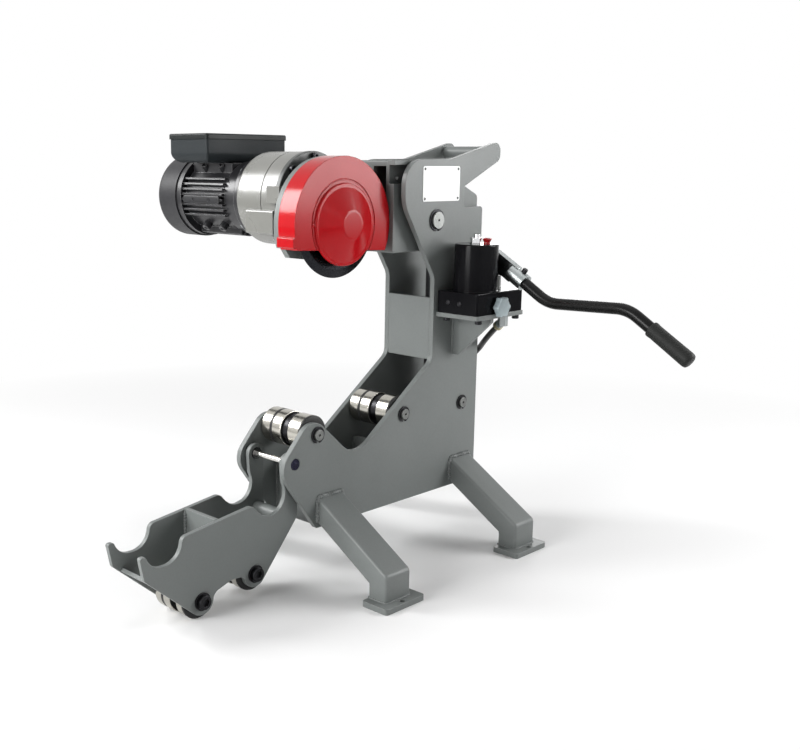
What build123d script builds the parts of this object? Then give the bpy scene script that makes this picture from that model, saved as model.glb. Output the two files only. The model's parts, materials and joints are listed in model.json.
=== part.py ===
import os
from math import atan2, cos, degrees, hypot, pi, radians, sin, sqrt, tan

from build123d import *

os.makedirs("parts", exist_ok=True)

# Frame plates: X runs to the rear, Y to the motor side, Z up from the floor
plate_out = 60.0
plate_t = 10.0
plate_in = plate_out - plate_t
base_z = 99.0
base_front_x = -212.0
rear_x = 226.0
shoulder_z = 634.0
notch_x = 168.0
horn_root_z = 671.0
horn_bend_x = 132.0
horn_end_x = 277.0
horn_low_z = 720.5
horn_top_z = 756.0
top_z = 720.0
nose_x = 2.5
column_x = 88.0
web_t = 8.0
hole_clear = 0.15
run_clear = 0.06
press_clear = 0.05
seat_clear = 0.1
side_clear = 0.3

# Pipe rollers and the cradle hinge
roller_r = 31.0
roller_z = 264.0
front_roller_x = -210.0
roller_spacing = 220.0
rear_roller_x = front_roller_x + roller_spacing
bolt_r = 10.0
lobe_r = 33.0
hinge_x = -261.0
hinge_z = 222.0
hinge_lobe_r = 34.0
blade_y = -9.0
blade_gap = 17.0
ring_gap = 1.5

# Cutting head
pivot_x = 90.0
pivot_z = 612.0
pivot_r = 16.0
spindle_x = -119.0
spindle_z = 613.0
motor_z = 650.0
blade_r = 95.0
blade_t = 8.0
guard_x = -120.0
guard_z = 610.0
guard_r = blade_r + 20.0
sheet_t = 3.0

# Ram, upright between the plates
ram_x = 180.0
ram_base_z = 260.0
ram_top_z = 640.0
ram_pin_r = 9.0
ram_pin_play = 2.6

# Legs of 60 by 40 tube with foot plates
leg_spacing = 358.0
leg_w = 60.0
leg_d = 40.0
leg_wall = 4.0
leg_root_top = 154.0
leg_out_y = 220.0
leg_slope = 31.5
foot_t = 10.0
foot_w = 95.0
foot_d = 55.0
foot_lip = 17.0
foot_hole_r = 5.0
foot_round = 5.0

# Hand pump on its shelf
shelf_z = 444.0
shelf_t = 8.0
shelf_d = 95.0
block_z = 484.0
reservoir_x = 146.0
reservoir_y = -plate_out - 50.0
reservoir_r = 40.0
reservoir_z = 570.0
lever_x = reservoir_x + reservoir_r + 13.0
lever_y = -plate_out - 40.0
lever_z = 535.0
socket_w = 14.0
tube_r = 10.5
hose_r = 5.5
from_end = (Align.CENTER, Align.CENTER, Align.MIN)


def side_plane(y):
    return Plane.XZ.offset(-y)


def across(radius, near, far, x, z, mode=Mode.ADD):
    with Locations((x, (near + far) / 2, z)):
        Cylinder(radius, far - near, rotation=(90, 0, 0), mode=mode)


def slab(x0, x1, y0, y1, z0, z1, mode=Mode.ADD):
    with Locations(((x0 + x1) / 2, (y0 + y1) / 2, (z0 + z1) / 2)):
        Box(x1 - x0, y1 - y0, z1 - z0, mode=mode)


def upright(radius, low, high, x, y, mode=Mode.ADD):
    with Locations((x, y, (low + high) / 2)):
        Cylinder(radius, high - low, mode=mode)


def toothed_disc(radius, teeth, near, far, x, z):
    across(radius - tip_cut, near, far, x, z)
    with Locations((x, (near + far) / 2, z)):
        with Locations(Rotation(90, 0, 0)):
            with PolarLocations(radius - tip_cut, teeth):
                Box(2 * tooth_depth, tooth_gap, far - near + 1, mode=Mode.SUBTRACT)


def finish(builder, name):
    builder.part.label = name
    export_step(builder.part, "parts/" + name + ".step")


# Side plates: base with the pipe V, column and carrying horn in one outline
v_floor_x = -117.0
v_floor_z = 205.0
holes = ((front_roller_x, roller_z, bolt_r), (rear_roller_x, roller_z, bolt_r), (ram_x, ram_base_z, bolt_r))

with BuildPart() as side_plate_near:
    with BuildSketch(side_plane(-plate_in)):
        with BuildLine():
            FilletPolyline(
                (base_front_x, base_z),
                (rear_x, base_z),
                (rear_x, shoulder_z),
                (notch_x, shoulder_z),
                (notch_x, horn_root_z),
                (horn_end_x, horn_low_z),
                (horn_end_x, horn_top_z),
                (horn_bend_x, top_z + 1),
                (nose_x, top_z),
                (nose_x, top_z - 79),
                (column_x, 509),
                (column_x, 353),
                (v_floor_x, v_floor_z),
                (front_roller_x - 11.5, roller_z + 35),
                (hinge_x - 36, hinge_z - 6),
                radius=(6, 8, 7, 6, 6, 15, 15, 60, 45, 60, 25, 25, 52, lobe_r, hinge_lobe_r),
                close=True,
            )
        make_face()
    extrude(amount=plate_t)
    for x, z, radius in holes:
        across(radius + hole_clear, -plate_out, -plate_in, x, z, Mode.SUBTRACT)
    across(bolt_r + hole_clear, -plate_out, -plate_in, hinge_x, hinge_z, Mode.SUBTRACT)
    across(pivot_r + hole_clear, -plate_out, -plate_in, pivot_x, pivot_z, Mode.SUBTRACT)
finish(side_plate_near, "side_plate_near")

with BuildPart() as side_plate_far:
    mirror(side_plate_near.part, about=Plane.XZ)
finish(side_plate_far, "side_plate_far")

panel_low = 354.0
panel_high = 470.0
with BuildPart() as column_front_panel:
    slab(column_x, column_x + web_t, -plate_in, plate_in, panel_low, panel_high)
finish(column_front_panel, "column_front_panel")

base_floor_z = base_z + web_t
front_web_x = base_front_x + 10
front_web_top = 200.0
cross_web_x = -6.0
cross_web_top = 205.0
with BuildPart() as base_plates:
    slab(front_web_x, rear_x - 4, -plate_in, plate_in, base_z, base_floor_z)
    slab(front_web_x, front_web_x + web_t, -plate_in, plate_in, base_floor_z, front_web_top)
    slab(cross_web_x, cross_web_x + web_t, -plate_in, plate_in, base_floor_z, cross_web_top)
finish(base_plates, "base_plates")

bar_x = 249.0
bar_z = 734.5
bar_r = 11.0
with BuildPart() as carry_bar:
    across(bar_r, -plate_in, plate_in, bar_x, bar_z)
finish(carry_bar, "carry_bar")

# Legs: tube bent from the plate down to the foot
slope = radians(leg_slope)


def leg_profile(inset, reach):
    drop = inset / cos(slope)
    root_bottom = leg_root_top - leg_d / cos(slope) + drop
    outer = -leg_out_y + inset
    inner = -leg_out_y + leg_d - inset
    root = -plate_out + reach
    return [
        (root, leg_root_top - drop + reach * tan(slope)),
        (outer, leg_root_top - drop - (leg_out_y - inset - plate_out) * tan(slope)),
        (outer, foot_t - reach),
        (inner, foot_t - reach),
        (inner, root_bottom + (inner + plate_out) * tan(slope)),
        (root, root_bottom + reach * tan(slope)),
    ]


with BuildPart() as legs:
    for leg_x in (-leg_spacing / 2, leg_spacing / 2):
        with BuildSketch(Plane.YZ.offset(leg_x)):
            with BuildLine():
                Polyline(leg_profile(0, 0), close=True)
            make_face()
        extrude(amount=leg_w / 2, both=True)
        with BuildSketch(Plane.YZ.offset(leg_x)):
            with BuildLine():
                Polyline(leg_profile(leg_wall, 1), close=True)
            make_face()
        extrude(amount=leg_w / 2 - leg_wall, both=True, mode=Mode.SUBTRACT)
    mirror(about=Plane.XZ)
finish(legs, "legs")

foot_y = leg_out_y + foot_lip - foot_d / 2
hole_y = leg_out_y + foot_lip / 2 + 0.5
with BuildPart() as foot_plates:
    with Locations((0, 0, foot_t / 2)):
        with GridLocations(leg_spacing, 2 * foot_y, 2, 2):
            Box(foot_w, foot_d, foot_t)
    fillet(edges().filter_by(Axis.Z), foot_round)
    with Locations((0, 0, foot_t / 2)):
        with GridLocations(leg_spacing, 2 * hole_y, 2, 2):
            Cylinder(foot_hole_r, foot_t, mode=Mode.SUBTRACT)
finish(foot_plates, "foot_plates")

# Cross shafts: two carry the pipe rollers, the third carries the ram
shaft_end = plate_out + 6
clip_y = plate_out + 0.2
clip_t = 1.8
clip_play = 0.2
clip_rim = 4.5
pivot_clip_rim = 4.0
groove_depth = 1.2
clip_mouth = 7.0
shaft_chamfer = 1.0
centre_r = 2.2
centre_depth = 4.0
cross_shafts = ((front_roller_x, roller_z), (rear_roller_x, roller_z), (ram_x, ram_base_z))


def clipped_shaft(radius, x, z):
    across(radius, -shaft_end, shaft_end, x, z)
    chamfer(edges().filter_by(GeomType.CIRCLE).group_by(Axis.Y)[0], shaft_chamfer)
    chamfer(edges().filter_by(GeomType.CIRCLE).group_by(Axis.Y)[-1], shaft_chamfer)
    for near in (-clip_y - clip_t - clip_play, clip_y):
        across(radius + 1, near, near + clip_t + clip_play, x, z, Mode.SUBTRACT)
        across(radius - groove_depth, near, near + clip_t + clip_play, x, z)
    for near in (-shaft_end, shaft_end - centre_depth):
        across(centre_r, near, near + centre_depth, x, z, Mode.SUBTRACT)


with BuildPart() as cross_shaft_front:
    clipped_shaft(bolt_r, front_roller_x, roller_z)
with BuildPart() as cross_shaft_rear:
    clipped_shaft(bolt_r, rear_roller_x, roller_z)
with BuildPart() as cross_shaft_ram:
    clipped_shaft(bolt_r, ram_x, ram_base_z)
with BuildPart() as cross_shafts_all:
    add(cross_shaft_front.part)
    add(cross_shaft_rear.part)
    add(cross_shaft_ram.part)
finish(cross_shafts_all, "cross_shafts")

with BuildPart() as circlips:
    for near in (-clip_y - clip_t - clip_play / 2, clip_y + clip_play / 2):
        for x, z, radius, rim in (
            (front_roller_x, roller_z, bolt_r, clip_rim),
            (rear_roller_x, roller_z, bolt_r, clip_rim),
            (ram_x, ram_base_z, bolt_r, clip_rim),
            (pivot_x, pivot_z, pivot_r, pivot_clip_rim),
        ):
            across(radius + rim, near, near + clip_t, x, z)
            across(radius - groove_depth + 0.1, near, near + clip_t, x, z, Mode.SUBTRACT)
            mouth = clip_mouth / 2
            slab(x - mouth, x + mouth, near, near + clip_t, z - radius - rim, z, Mode.SUBTRACT)
finish(circlips, "circlips")

spacer_r = 27.0
gap_near = blade_y - blade_gap / 2
gap_far = blade_y + blade_gap / 2
ram_eye_half = 26.0
with BuildPart() as frame_spacers:
    for x in (front_roller_x, rear_roller_x):
        across(spacer_r, gap_near + side_clear, gap_far - side_clear, x, roller_z)
    for near, far in ((-plate_in, -ram_eye_half - side_clear), (ram_eye_half + side_clear, plate_in)):
        across(bolt_r + 3, near, far, ram_x, ram_base_z)
    for x, z in cross_shafts:
        across(bolt_r + hole_clear, -plate_in, plate_in, x, z, Mode.SUBTRACT)
finish(frame_spacers, "frame_spacers")

ring_far = plate_in - 2
ring_half = (ring_far - gap_far - ring_gap) / 2


def roller_set(x, z, far, near, half, bore):
    across(roller_r, far - half, far, x, z)
    across(roller_r, gap_far, gap_far + half, x, z)
    across(roller_r, near, gap_near, x, z)
    across(bore, near, far, x, z, Mode.SUBTRACT)
    fillet(edges().filter_by(GeomType.CIRCLE).group_by(SortBy.RADIUS)[-1], 1.5)


with BuildPart() as front_rollers:
    roller_set(front_roller_x, roller_z, ring_far, -ring_far, ring_half, bolt_r + run_clear)
finish(front_rollers, "front_rollers")

with BuildPart() as rear_rollers:
    roller_set(rear_roller_x, roller_z, ring_far, -ring_far, ring_half, bolt_r + run_clear)
finish(rear_rollers, "rear_rollers")

# Flip-over cradle: turned back about the hinge from its seat on the V rollers
flip = 188.0
cradle_out = 46.2
cradle_t = 8.0
cradle_in = cradle_out - cradle_t
ear_r = 17.0
small_spacing = 112.0
small_mid_x = -104.0
small_z = 383.0
small_bolt_r = 8.0
small_lobe_r = 23.0


def turned_back(x, z):
    reach = hypot(x - hinge_x, z - hinge_z)
    angle = atan2(z - hinge_z, x - hinge_x) + radians(flip)
    return (hinge_x + reach * cos(angle), hinge_z + reach * sin(angle))


front_small = turned_back(small_mid_x + small_spacing / 2, small_z)
rear_small = turned_back(small_mid_x - small_spacing / 2, small_z)
front_seat = turned_back(rear_roller_x, roller_z)
rear_seat = turned_back(front_roller_x, roller_z)
seat_r = roller_r + 0.5
notch_ease = 1.5
front_ease = 5.0
seat_sweep = 40.0
sweep_half = roller_r + 1.5
seat_reach = hypot(front_roller_x - hinge_x, roller_z - hinge_z) + sweep_half

with BuildPart() as cradle_plate_near:
    with BuildSketch(side_plane(-cradle_in)):
        with BuildLine():
            FilletPolyline(
                (front_seat[0] - 42, front_seat[1] - 8),
                (front_seat[0] - 20, front_seat[1] - 8),
                (front_seat[0] + 24, front_seat[1] + 4),
                (rear_seat[0] - 47, rear_seat[1] - 8.5),
                (rear_seat[0] - 12, rear_seat[1] - 4),
                (hinge_x - ear_r + 3, hinge_z - 40),
                (hinge_x - ear_r, hinge_z),
                (hinge_x + ear_r, hinge_z),
                (hinge_x + 17.5, hinge_z - 96.5),
                (rear_small[0] + 17.6, rear_small[1] - 14.8),
                rear_small,
                ((front_small[0] + rear_small[0]) / 2 + 6, 52),
                front_small,
                (front_small[0] - 15, front_small[1] - 17.4),
                (front_seat[0] - 34, front_seat[1] - 47),
                radius=(4, 0, 0, 0, 0, 0, 0, 0, 12, 0, 0, 25, 0, 0, 8),
                close=True,
            )
        make_face()
        with Locations((hinge_x, hinge_z)):
            Circle(ear_r)
        with Locations(front_small, rear_small):
            Circle(small_lobe_r)
        with Locations(front_seat, (front_seat[0] + front_ease, front_seat[1])):
            Circle(seat_r, mode=Mode.SUBTRACT)
        with Locations((rear_seat[0] + notch_ease, rear_seat[1])):
            Circle(seat_r + notch_ease, mode=Mode.SUBTRACT)
        with BuildLine():
            seat_angle = degrees(atan2(rear_seat[1] - hinge_z, rear_seat[0] - hinge_x)) + 360
            outer_sweep = CenterArc((hinge_x, hinge_z), seat_reach, seat_angle, -seat_sweep)
            inner_sweep = CenterArc((hinge_x, hinge_z), seat_reach - 2 * sweep_half, seat_angle, -seat_sweep)
            Line(outer_sweep @ 0, inner_sweep @ 0)
            Line(outer_sweep @ 1, inner_sweep @ 1)
        make_face(mode=Mode.SUBTRACT)
    extrude(amount=cradle_t)
    for x, z, radius in (
        (front_seat[0] - 30.5, front_seat[1] - 8, 5),
        (front_seat[0] + 36, front_seat[1] + 5, 12),
        (rear_seat[0] - 33, rear_seat[1] - 7, 14),
        (rear_small[0] - 23, rear_small[1] + 1.6, 12),
        (front_small[0] + 22, front_small[1] + 6.8, 15),
        (hinge_x - ear_r + 2.5, hinge_z - 32.4, 12),
    ):
        fillet(edges().filter_by(Axis.Y).sort_by_distance((x, -cradle_in, z))[0], radius)
    across(bolt_r + run_clear, -cradle_out, -cradle_in, hinge_x, hinge_z, Mode.SUBTRACT)
    for x, z in (front_small, rear_small):
        across(small_bolt_r + hole_clear, -cradle_out, -cradle_in, x, z, Mode.SUBTRACT)
finish(cradle_plate_near, "cradle_plate_near")

with BuildPart() as cradle_plate_far:
    mirror(cradle_plate_near.part, about=Plane.XZ)
finish(cradle_plate_far, "cradle_plate_far")

strip_rise = front_small[1] - front_seat[1] + 31
strip_run = front_small[0] - front_seat[0] + 28
strip_angle = degrees(atan2(strip_rise, strip_run))
strip_w = 28.0
strip_t = 6.0
cradle_web_x = -416.0
cradle_web_low = 74.0
cradle_web_top = 158.0
tie_x = hinge_x
tie_z = hinge_z - 98.0
tie_r = 12.0
tie_wall = 4.0
with BuildPart() as cradle_crosspieces:
    slab(cradle_web_x, cradle_web_x + web_t, -cradle_in, cradle_in, cradle_web_low, cradle_web_top)
    with Locations(Location((front_seat[0] - 7.5, 0, front_seat[1] - 63), (0, -strip_angle, 0))):
        Box(strip_w, 2 * cradle_in, strip_t)
    across(tie_r, -cradle_in, cradle_in, tie_x, tie_z)
    across(tie_r - tie_wall, -cradle_in, cradle_in, tie_x, tie_z, Mode.SUBTRACT)
    for x, z in (front_small, rear_small):
        across(small_bolt_r + 10, gap_near + side_clear, gap_far - side_clear, x, z)
        across(small_bolt_r + hole_clear, gap_near, gap_far, x, z, Mode.SUBTRACT)
finish(cradle_crosspieces, "cradle_crosspieces")

small_washer_t = 2.5
small_head_r = 12.0
small_head_t = 7.0
small_flats = 24.0
with BuildPart() as cradle_bolts:
    for x, z in (front_small, rear_small):
        head_near = -cradle_out - small_washer_t - small_head_t
        across(small_head_r, head_near, -cradle_out - small_washer_t, x, z)
        across(small_bolt_r, -cradle_out - small_washer_t, cradle_out + small_washer_t + 12, x, z)
    fillet(edges().filter_by(GeomType.CIRCLE).group_by(Axis.Y)[0], 1.5)
    for x, z in (front_small, rear_small):
        with BuildSketch(side_plane(head_near + 4)):
            with Locations((x, z)):
                RegularPolygon(6, 6, major_radius=False)
        extrude(amount=5, mode=Mode.SUBTRACT)
finish(cradle_bolts, "cradle_bolts")

with BuildPart() as cradle_nuts:
    with BuildSketch(side_plane(cradle_out + small_washer_t + small_head_t)):
        with Locations(front_small, rear_small):
            RegularPolygon(small_flats / 2, 6, major_radius=False)
    extrude(amount=small_head_t)
    for x, z in (front_small, rear_small):
        across(15, cradle_out, cradle_out + small_washer_t - 0.05, x, z)
        across(15, -cradle_out - small_washer_t, -cradle_out, x, z)
        across(small_bolt_r + hole_clear, -cradle_out - 9, cradle_out + 20, x, z, Mode.SUBTRACT)
finish(cradle_nuts, "cradle_nuts")

small_far = cradle_in - 1.5
small_half = (small_far - gap_far - ring_gap) / 2
with BuildPart() as cradle_front_rollers:
    roller_set(front_small[0], front_small[1], small_far, -small_far, small_half, small_bolt_r + run_clear)
finish(cradle_front_rollers, "cradle_front_rollers")

with BuildPart() as cradle_rear_rollers:
    roller_set(rear_small[0], rear_small[1], small_far, -small_far, small_half, small_bolt_r + run_clear)
finish(cradle_rear_rollers, "cradle_rear_rollers")

waist_r = 5.0
waist_half = cradle_in - 2.0
with BuildPart() as cradle_hinge_pin:
    across(bolt_r, -plate_out + 2, plate_out - 2, hinge_x, hinge_z)
    chamfer(edges().filter_by(GeomType.CIRCLE), 1)
    across(bolt_r + 1, -waist_half, waist_half, hinge_x, hinge_z, Mode.SUBTRACT)
    across(waist_r, -waist_half, waist_half, hinge_x, hinge_z)
finish(cradle_hinge_pin, "cradle_hinge_pin")

# Nameplate, left bare
badge_at = (101.0, 677.0)
badge_w = 104.0
badge_h = 62.5
badge_t = 1.0
rivet_inset = 5.0
with BuildPart() as nameplate:
    with BuildSketch(side_plane(-plate_out)):
        with Locations(badge_at):
            RectangleRounded(badge_w, badge_h, 4)
    extrude(amount=badge_t)
    with BuildSketch(side_plane(-plate_out - badge_t)):
        with Locations(badge_at):
            with GridLocations(badge_w - 2 * rivet_inset, badge_h - 2 * rivet_inset, 2, 2):
                Circle(2)
    extrude(amount=0.8)
finish(nameplate, "nameplate")

# Pivot of the swing arm
with BuildPart() as pivot_pin:
    clipped_shaft(pivot_r, pivot_x, pivot_z)
finish(pivot_pin, "pivot_pin")

# Swing arm: box on the pivot, round back plate behind the guard, clevis tail
arm_near = -38.0
arm_far = 46.0
back_near = 10.0
back_far = 22.0
arm_low = 556.0
arm_top = 718.0
arm_front = -4.0
arm_rear = 120.0
bearing_r = 31.0
spindle_bearing_w = 14.5
spindle_r = 15.0
tail_r = 24.0
tail_half = 30.0
slot_half = 14.0
arm_box_end = 62.0
arm_step_z = 677.0
arm_wall = 18.0
front_open_z = 636.0
band_depth = 11.0
lip_t = 8.0
lip_out = 6.0
tail_plate_in = tail_half + 4.5
tail_plate_x = ram_x + 47.0
hood_cut_z = 574.0
gear_plate_r = 58.0
gear_plate_low = 576.0
gear_plate_top = 690.0
web_top = 700.0
with BuildPart() as swing_arm:
    with BuildSketch(side_plane(arm_far)):
        with BuildLine():
            FilletPolyline(
                (arm_front, arm_low),
                (arm_rear - 24, arm_low),
                (arm_rear, arm_low + 30),
                (arm_rear, arm_top),
                (arm_front, arm_top),
                radius=(3, 8, 8, 10, 3),
                close=True,
            )
        make_face()
    extrude(amount=arm_far - arm_near)
    slab(arm_front + 8, arm_box_end, arm_near + arm_wall, arm_far - 8, arm_low - 1, arm_top - 10, Mode.SUBTRACT)
    slab(arm_front - 1, arm_front + 9, arm_near + arm_wall, back_near, front_open_z, arm_top - 10, Mode.SUBTRACT)
    band_in = arm_near + band_depth
    slab(arm_front - 1, arm_box_end, arm_near - 1, band_in, arm_step_z, arm_top - lip_t, Mode.SUBTRACT)
    slab(arm_front - lip_out, arm_box_end, arm_near - lip_out, band_in, arm_top - lip_t, arm_top)
    across(4, band_in, arm_near + arm_wall, arm_front + 20, arm_step_z + 11, Mode.SUBTRACT)
    across(pivot_r + 12, -plate_in + side_clear, plate_in - side_clear, pivot_x, pivot_z)
    with BuildSketch(side_plane(back_far)):
        with Locations((guard_x, guard_z)):
            Circle(guard_r - 1)
        with BuildLine():
            Polyline((-240, hood_cut_z), (0, arm_low), (0, 400), (-240, 400), close=True)
        make_face(mode=Mode.SUBTRACT)
        with BuildLine():
            Polyline(
                (guard_x, arm_low + 8),
                (arm_front + 10, arm_low),
                (arm_front + 10, web_top),
                (guard_x, web_top),
                close=True,
            )
        make_face()
        with BuildLine():
            Polyline((-221, hood_cut_z), (-170, hood_cut_z - 4), (-176, 552), (-208, 556), close=True)
        make_face()
    extrude(amount=back_far - back_near)
    with BuildSketch(side_plane(arm_far)):
        with Locations((spindle_x, spindle_z + 19)):
            Circle(gear_plate_r)
        with BuildLine():
            Polyline(
                (spindle_x, gear_plate_low),
                (arm_front + 2, gear_plate_low),
                (arm_front + 2, gear_plate_top),
                (spindle_x, gear_plate_top),
                close=True,
            )
        make_face()
    extrude(amount=arm_far - back_far)
    with BuildSketch(side_plane(tail_half)):
        with BuildLine():
            Polyline(
                (arm_rear - 20, ram_top_z - 40),
                (arm_rear - 20, ram_top_z + 32),
                (ram_x - 6, ram_top_z + tail_r - 2),
                (ram_x + 4, ram_top_z - tail_r + 2),
                close=True,
            )
        make_face()
        with Locations((ram_x, ram_top_z)):
            Circle(tail_r)
    extrude(amount=2 * tail_half)
    for far in (-tail_plate_in, arm_far):
        with BuildSketch(side_plane(far)):
            with BuildLine():
                FilletPolyline(
                    (arm_rear - 24, ram_top_z - 50),
                    (tail_plate_x, ram_top_z - 28),
                    (tail_plate_x, ram_top_z + 14),
                    (ram_x + 6, ram_top_z + 32),
                    (arm_rear - 24, ram_top_z + 50),
                    radius=(0, 8, 10, 20, 0),
                    close=True,
                )
            make_face()
        extrude(amount=arm_far - tail_plate_in)
    slab(arm_rear + 14, ram_x + 40, -slot_half, slot_half, ram_top_z - 60, ram_top_z + 50, Mode.SUBTRACT)
    across(ram_pin_r + hole_clear, -tail_half, tail_half, ram_x, ram_top_z, Mode.SUBTRACT)
    across(pivot_r + run_clear, -plate_in, plate_in, pivot_x, pivot_z, Mode.SUBTRACT)
    across(bearing_r + seat_clear, back_near + 2, arm_far, spindle_x, spindle_z, Mode.SUBTRACT)
    across(spindle_r + 5, back_near, arm_far, spindle_x, spindle_z, Mode.SUBTRACT)
finish(swing_arm, "swing_arm")

with BuildPart() as ram_top_pin:
    across(ram_pin_r, -tail_half - 4, tail_half + 4, ram_x, ram_top_z)
    chamfer(edges().filter_by(GeomType.CIRCLE), 1)
finish(ram_top_pin, "ram_top_pin")

# Guard: pressed hood with a raised ring and a domed hub
guard_near = -30.0
ring_r = 70.0
groove_r = 76.0
groove_w = 2.0
tab_low = hood_cut_z + 1
hub_r = 64.0
hub_top_r = 24.0
hub_near = -52.0
hub_base = guard_near - 4
with BuildPart() as blade_guard:
    across(guard_r, guard_near, back_near, guard_x, guard_z)
    across(guard_r - sheet_t, guard_near + sheet_t, back_near, guard_x, guard_z, Mode.SUBTRACT)
    with BuildSketch(side_plane(back_near + 1)):
        with BuildLine():
            Polyline((-260, hood_cut_z - 0.8), (20, arm_low + 4.2), (20, 440), (-260, 440), close=True)
        make_face()
    extrude(amount=80, mode=Mode.SUBTRACT)
    with BuildSketch(Plane.XY.offset(guard_z)):
        with BuildLine():
            FilletPolyline(
                (guard_x, hub_near),
                (guard_x + hub_top_r, hub_near),
                (guard_x + hub_r, hub_base),
                (guard_x + ring_r, hub_base),
                (guard_x + ring_r, guard_near + sheet_t),
                (guard_x, guard_near + sheet_t),
                radius=(0, 9, 6, 2.5, 0, 0),
                close=True,
            )
        make_face()
    revolve(axis=Axis((guard_x, 0, guard_z), (0, 1, 0)))
    with BuildSketch(Plane.XY.offset(guard_z)):
        with BuildLine():
            Polyline(
                (guard_x, hub_near + sheet_t),
                (guard_x + hub_top_r - 1, hub_near + sheet_t),
                (guard_x + hub_r - 1.5, hub_base + sheet_t),
                (guard_x + ring_r - sheet_t, hub_base + sheet_t),
                (guard_x + ring_r - sheet_t, guard_near + sheet_t + 1),
                (guard_x, guard_near + sheet_t + 1),
                close=True,
            )
        make_face()
    revolve(axis=Axis((guard_x, 0, guard_z), (0, 1, 0)), mode=Mode.SUBTRACT)
    with BuildSketch(side_plane(guard_near + 1)):
        with Locations((guard_x, guard_z)):
            Circle(groove_r + groove_w / 2)
            Circle(groove_r - groove_w / 2, mode=Mode.SUBTRACT)
        with BuildLine():
            Polyline((-260, hood_cut_z), (20, arm_low + 5), (20, 440), (-260, 440), close=True)
        make_face(mode=Mode.SUBTRACT)
    extrude(amount=2, mode=Mode.SUBTRACT)
    slab(guard_x - guard_r - 3, guard_x - guard_r + 8, guard_near, back_near, tab_low, tab_low + 18)
    fillet(edges().filter_by(Axis.Y).group_by(Axis.X)[0], 3)
finish(blade_guard, "blade_guard")

# Gearbox: flange on the arm, cup-shaped housing towards the motor
flange_r = 83.0
flange_far = arm_far + 10
gearbox_r = 82.0
gearbox_far = 160.0
gearbox_wall = 6.0
flange_bolt_r = 74.0
tip_cut = 0.3
tooth_depth = 1.3
tooth_gap = 1.6
module = 1.0
motor_teeth = 12
lay_teeth = 69
lay_pinion_teeth = 14
spindle_teeth = 64
motor_to_lay = module * (motor_teeth + lay_teeth) / 2
lay_to_spindle = module * (lay_pinion_teeth + spindle_teeth) / 2
axis_gap = motor_z - spindle_z
lay_dz = (lay_to_spindle**2 - motor_to_lay**2 + axis_gap**2) / (2 * axis_gap)
lay_x = spindle_x + sqrt(lay_to_spindle**2 - lay_dz**2)
lay_z = spindle_z + lay_dz
lay_r = 5.0
shaft_r = 10.0
seam_near = 91.0
seam_far = 93.0
seam_depth = 1.5
boss_front = -205.0
boss_low = 592.0
boss_high = 633.0
boss_near = flange_far + 1
boss_far = 127.0
inner_wall = gearbox_far - gearbox_wall - 2

flange_angles = (45, 90, 135, 180)
with BuildPart() as gearbox_flange:
    across(flange_r, arm_far, flange_far, spindle_x, motor_z)
    chamfer(edges().filter_by(GeomType.CIRCLE), 1)
    across(spindle_r + 3, arm_far, flange_far, spindle_x, spindle_z, Mode.SUBTRACT)
    across(lay_r + run_clear, flange_far - 6, flange_far, lay_x, lay_z, Mode.SUBTRACT)
    for angle in flange_angles:
        bolt_x = spindle_x + flange_bolt_r * cos(radians(angle))
        bolt_z = motor_z + flange_bolt_r * sin(radians(angle))
        across(4 + hole_clear, arm_far, flange_far - 1, bolt_x, bolt_z, Mode.SUBTRACT)
finish(gearbox_flange, "gearbox_flange")

with BuildPart() as head_bolts:
    for angle in flange_angles:
        bolt_x = spindle_x + flange_bolt_r * cos(radians(angle))
        bolt_z = motor_z + flange_bolt_r * sin(radians(angle))
        across(6.5, arm_far - 8, arm_far, bolt_x, bolt_z)
        across(4, arm_far, flange_far - 1, bolt_x, bolt_z)
    fillet(edges().filter_by(GeomType.CIRCLE).group_by(Axis.Y)[0], 1)
    for angle in flange_angles:
        bolt_x = spindle_x + flange_bolt_r * cos(radians(angle))
        bolt_z = motor_z + flange_bolt_r * sin(radians(angle))
        with BuildSketch(side_plane(arm_far - 4)):
            with Locations((bolt_x, bolt_z)):
                RegularPolygon(3, 6, major_radius=False)
        extrude(amount=5, mode=Mode.SUBTRACT)
finish(head_bolts, "head_bolts")

with BuildPart() as gearbox_housing:
    across(gearbox_r, flange_far, gearbox_far, spindle_x, motor_z)
    fillet(edges().filter_by(GeomType.CIRCLE).group_by(Axis.Y)[-1], 8)
    slab(boss_front, boss_front + 55, boss_near, boss_far, boss_low, boss_high)
    fillet(edges().filter_by(Axis.Y).group_by(Axis.X)[0], 4)
    cavity_r = gearbox_r - gearbox_wall
    across(cavity_r, flange_far, gearbox_far - gearbox_wall, spindle_x, motor_z, Mode.SUBTRACT)
    across(gearbox_r + 1, seam_near, seam_far, spindle_x, motor_z, Mode.SUBTRACT)
    across(gearbox_r - seam_depth, seam_near, seam_far, spindle_x, motor_z)
    across(cavity_r, seam_near - 1, seam_far + 1, spindle_x, motor_z, Mode.SUBTRACT)
    slab(boss_front + 1, boss_front + 19, seam_near, seam_far, boss_low, boss_high)
    slab(boss_front - 2, boss_front + 15, arm_far - 8, flange_far + 14, motor_z - 5, motor_z + 24)
    across(flange_r + side_clear, arm_far - 8, flange_far, spindle_x, motor_z, Mode.SUBTRACT)
    across(shaft_r + 3, inner_wall, gearbox_far, spindle_x, motor_z, Mode.SUBTRACT)
    across(lay_r + run_clear, inner_wall, gearbox_far - 1, lay_x, lay_z, Mode.SUBTRACT)
finish(gearbox_housing, "gearbox_housing")

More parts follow.
